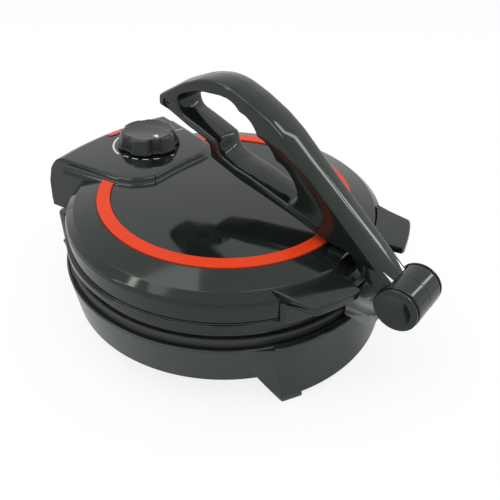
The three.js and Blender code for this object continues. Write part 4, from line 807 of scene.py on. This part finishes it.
bar = [(0.395, 0.412), (0.403, 0.380), (0.420, 0.363), (0.497, 0.404), (0.578, 0.445), (0.644, 0.469),
       (0.701, 0.510), (0.713, 0.600), (0.798, 0.657), (0.880, 0.706)]
loop_points, loop_radii = list(fingers), [5, 5, 16, 16, 10]
for bend_y, bend_z, end_y, end_z in scoops:
    from_y, from_z = loop_points[-1]
    for share in (0.3, 0.55, 0.8, 1.0):
        keep, pull, on = (1 - share) ** 2, 2 * share * (1 - share), share ** 2
        loop_points.append((keep * from_y + pull * bend_y + on * end_y,
                            keep * from_z + pull * bend_z + on * end_z))
        loop_radii.append(6 if share == 1.0 else 12)
loop_outline = rounded([(y * reach, z * rise) for y, z in loop_points + bar],
                       loop_radii + [8, 6, 8, 40, 40, 24, 6, 6, 30, 8], 4, 0.4)
half_width = 14.4
dome = [(0.12, 0.05), (0.22, 0.01), (0.5, 0.0), (2.5, 0.05), (5, 0.22), (7.5, 0.5), (9.6, 0.84), (11.2, 1.18),
        (12.3, 1.46), (13.1, 1.76), (13.75, 2.16), (14.15, 2.6), (14.36, 3.0), (half_width, 3.35)]


def at_axle(name, points, faces):
    return faces_mesh(name, [(x, axle_y + y, axle_z + z) for x, y, z in points], faces)


def arm_half(side):
    """One half of the arm: its rim rolls from the seam to the flat side in both outlines."""
    points, faces = [], []
    for outline, sense in ((arm_outline, 1), (loop_outline, -0.8)):
        first, count = len(points), len(outline)
        for x, inset in dome:
            points += [(side * x, y, z) for y, z in shrunk(outline, inset * sense)]
        for k in range(len(dome) - 1):
            for i in range(count):
                a, b = first + k * count + i, first + k * count + (i + 1) % count
                faces.append((a, b, b + count, a + count))
    outer, inner = len(arm_outline), len(loop_outline)
    loop_first = outer * len(dome)
    for ring in (0, len(dome) - 1):
        flat_outer = [ring * outer + i for i in range(outer)]
        flat_inner = [loop_first + ring * inner + i for i in range(inner)]
        order = flat_outer + flat_inner
        plane = [[Vector((points[i][1], points[i][2], 0)) for i in part] for part in (flat_outer, flat_inner)]
        faces += [tuple(order[i] for i in triangle) for triangle in tessellate_polygon(plane)]
    return at_axle("arm_half", points, faces)


def across(name, profile, sides=96, side=1):
    """A section of (radius, place) pairs turned about the axle, on one side of the middle."""
    points, faces = [], []
    count = len(profile)
    for k in range(sides):
        turn = 2 * math.pi * k / sides
        points += [(side * x, r * math.cos(turn), r * math.sin(turn)) for r, x in profile]
    for k in range(sides):
        a, b = k * count, ((k + 1) % sides) * count
        for i in range(count):
            on = (i + 1) % count
            faces.append((a + i, a + on, b + on, b + i))
    return at_axle(name, points, faces)


def bar_at(angle, half, length, wide):
    """A straight bar from the axle outwards, as room for the bracket's tongue."""
    along = Vector((0, math.cos(math.radians(angle)), math.sin(math.radians(angle))))
    up = Vector((0, -along.z, along.y))
    corners = [Vector((x, 0, 0)) + along * a + up * b
               for x in (-wide, wide) for a in (0, length) for b in (-half, half)]
    return at_axle("bar", [tuple(c) for c in corners], BOX_FACES)


def prism(name, outline, places):
    """An outline seen from the side, carried straight across between two places."""
    count = len(outline)
    ends = [tuple(range(count)), tuple(range(count, 2 * count))[::-1]]
    walls = [(i, (i + 1) % count, count + (i + 1) % count, count + i) for i in range(count)]
    return at_axle(name, [(x, y, z) for x in places for y, z in outline], ends + walls)


barrel_radius, barrel_half, seam_half = 17.7, 17.6, 0.15
slot_from, slot_to, screw_room_radius = -24.2, -171.8, 4.15
barrel_profile = rounded([(0, seam_half), (barrel_radius, seam_half), (barrel_radius, barrel_half),
                          (0, barrel_half)], [0, 0.1, 1.1, 0], 4)
# The rooms for the bracket differ a hair in width, so that no two cuts share a face
for side, name in ((-1, "left"), (1, "right")):
    slot_outline = [(0, 0)] + [polar(24, slot_from + (slot_to - slot_from) * k / 24) for k in range(25)]
    slot_room = prism("slot_room", slot_outline, (-7.85, 7.85))
    knuckle_room = across("knuckle_room", [(0, -7.8), (12.6, -7.8), (12.6, 7.8), (0, 7.8)], 48)
    shell = cut(arm_half(side), across("barrel", barrel_profile, 128, side), operation="UNION")
    screw_y, screw_z = (233.4, 89.8) if side < 0 else (104, 81.8)
    recess = oval(screw_y, screw_z, screw_room_radius, screw_room_radius, 48)
    shell = cut(shell, knuckle_room, slot_room, bar_at(-45.5, 6, 26, 7.9), bar_at(-150.5, 6, 26, 7.95),
                prism("screw_room", recess, (side * 10.6, side * 16)))
    stand(f"handle_{name}_visual", shell, gloss_black, "handle", "gloss_black_plastic",
          f"handle_{name}_shell", crease=38)

# Barrel ends: a matte collar and a gloss cap with a shallow dish on each side,
# pressed into the barrel over the axle.
near, far = barrel_half + 0.3, barrel_half + 1.7
inner, outer, dish_radius = near + 1.7, near + 3.7, 12.4
collar = rounded([(7.3, near), (16.5, near), (16.5, far), (7.3, far)], [0.1, 0.3, 0.3, 0.1], 3)
dish = [(r, outer - 2.6 * (1 - (r / dish_radius) ** 2)) for r in (dish_radius, 10.5, 8.4, 6.3, 4.2, 2.1, 0)]
cap = rounded([(0, inner - 5), (7, inner - 5), (7, inner), (17.3, inner), (17.3, outer)] + dish,
              [0, 0.4, 0.2, 0.3, 1.3, 1.2] + [0] * 6, 5)
for side, name in ((-1, "left"), (1, "right")):
    stand(f"barrel_collar_{name}_visual", across("collar", collar, 96, side), matte_black, "handle",
          "matte_black_plastic", f"barrel_collar_{name}")
    stand(f"barrel_cap_{name}_visual", across("cap", cap, 128, side), gloss_black, "handle",
          "gloss_black_plastic", f"barrel_cap_{name}")

# CAD pieces that keep their own shape: the bottom cover, the elements with
# their reflectors and studs, the thermostat and the handle's core. Each gets
# the finish of its material slot.
steel = finish("plated_steel", (0.42, 0.43, 0.44), (0.56, 0.57, 0.58), (0.22, 0.36),
               150, 1400, 0.02, 1.0, (1, 1, 6))
slot_finishes = {
    "gloss_black_plastic": gloss_black, "matte_black_plastic": matte_black, "plated_steel": steel,
    "rubber_pad": finish("rubber", (0.014, 0.014, 0.014), (0.028, 0.028, 0.028), (0.75, 0.9),
                         200, 2600, 0.06),
    "reflector_sheet": finish("bright_sheet", (0.6, 0.61, 0.62), (0.72, 0.73, 0.74), (0.15, 0.3),
                              40, 500, 0.02, 1.0, (1, 5, 1)),
    "ceramic": finish("glazed_ceramic", (0.6, 0.57, 0.5), (0.74, 0.72, 0.66), (0.3, 0.5), 160, 1800, 0.03),
    "fuse_sleeve": finish("glass_braid", (0.5, 0.42, 0.28), (0.66, 0.58, 0.42), (0.6, 0.8),
                          300, 3000, 0.1, 0, (6, 1, 1)),
    "lamp_glass": finish("neon_glass", (0.5, 0.42, 0.36), (0.66, 0.58, 0.5), (0.08, 0.15), 300, 1500, 0.01),
    "white_mark": white_ink, "cast_bracket": zinc, "coated_plate": coated, "red_trim": red_plastic,
    "red_lens": red_lens, "green_lens": green_lens,
}
slots, riders = {}, {}
for part in frame["record"]["subparts"]:
    small_piece = frame["nodes"][part["node"]].data
    small_piece.materials.clear()
    small_piece.materials.append(slot_finishes[part["material_slot"]])
    slots[part["node"]] = part["material_slot"]
for body, names in frame["record"]["behaviour"]["bodies"].items():
    riders.update({node: body for node in names})

# Screws, pins, foot pads, neon lamps and the thermal fuse: each is a turned
# piece with softened edges. A screw's head carries a cross for the driver.
# The handle's screws are drawn near black, darker than the plated steel of their slot.
blackened = finish("blackened_steel", (0.012, 0.012, 0.012), (0.024, 0.024, 0.024), (0.2, 0.32),
                   150, 1400, 0.02)


def round_copy(node, axis, soft=0.25, cross=False, sides=64):
    """A turned CAD node made again with rounder sides, about the same axis."""
    source = frame["nodes"][node]
    spots = [source.matrix_world @ v.co for v in source.data.vertices]
    a, b = (k for k in range(3) if k != axis)
    centre = [(min(p[k] for p in spots) + max(p[k] for p in spots)) / 2 for k in range(3)]
    rings = {}
    for p in spots:
        radius = round(math.hypot(p[a] - centre[a], p[b] - centre[b]) / MM, 2)
        if radius > 0.02:
            rings.setdefault(round(p[axis] / MM, 2), set()).add(radius)
    heights = sorted(rings)
    profile, last = [(0, heights[0])], 0
    for height in heights:
        steps = sorted(rings[height], key=lambda radius: abs(radius - last))
        profile += [(radius, height) for radius in steps]
        last = steps[-1]
    profile.append((0, heights[-1]))
    profile = rounded(profile, [0] + [soft] * (len(profile) - 2) + [0], 3, 0.05)
    count = len(profile)
    points, faces = [], []
    for k in range(sides):
        turn = 2 * math.pi * k / sides
        for radius, height in profile:
            spot = [0, 0, 0]
            spot[a] = centre[a] / MM + radius * math.cos(turn)
            spot[b] = centre[b] / MM + radius * math.sin(turn)
            spot[axis] = height
            points.append((spot[0], spot[1] - middle, spot[2]))
        here, on = k * count, (k + 1) % sides * count
        faces += [(here + i, here + i + 1, on + i + 1, on + i) for i in range(count - 1)]
    mesh = faces_mesh(node, points, faces)
    if cross:
        widest = max(heights, key=lambda height: (max(rings[height]), -abs(height - centre[axis] / MM)))
        head = max(max(ring) for ring in rings.values())
        end = min((heights[0], heights[-1]), key=lambda height: abs(height - widest))
        inward = 1 if end == heights[0] else -1
        for long, short in ((a, b), (b, a)):
            spans = [None] * 3
            for k, share in ((long, 0.56), (short, 0.13)):
                spans[k] = centre[k] / MM - share * head, centre[k] / MM + share * head
            spans[axis] = sorted((end - inward, end + inward * (1.1 if long == a else 1.15)))
            slot_corners = [(x, y - middle, z) for x in spans[0] for y in spans[1] for z in spans[2]]
            mesh = cut(mesh, faces_mesh("driver_slot", slot_corners, BOX_FACES))
    # Handle screws take the near-black steel in place of their slot's plated steel.
    material = blackened if node.startswith("handle_screw") else slot_finishes[slots[node]]
    return stand(f"{node}_visual", mesh, material, riders[node], slots[node], node)


for node in slots:
    if "screw" in node:
        round_copy(node, 0 if node.startswith("handle") else 2, cross=True)
    elif node.startswith("foot_pad"):
        round_copy(node, 2, 0.5)
    elif node.startswith(("hinge_pin", "handle_axle", "thermal_fuse")) or "neon" in node:
        round_copy(node, 0, 0.6)

# Pressed and moulded plates: the hinge brackets, the floor under the housing,
# the terminal block and the cord gland, each with its edges softened.
for node in ("hinge_bracket_left", "hinge_bracket_right", "housing_floor", "terminal_block", "cord_gland"):
    softened(f"{node}_visual", node, slot_finishes[slots[node]], riders[node], slots[node], 0.35)
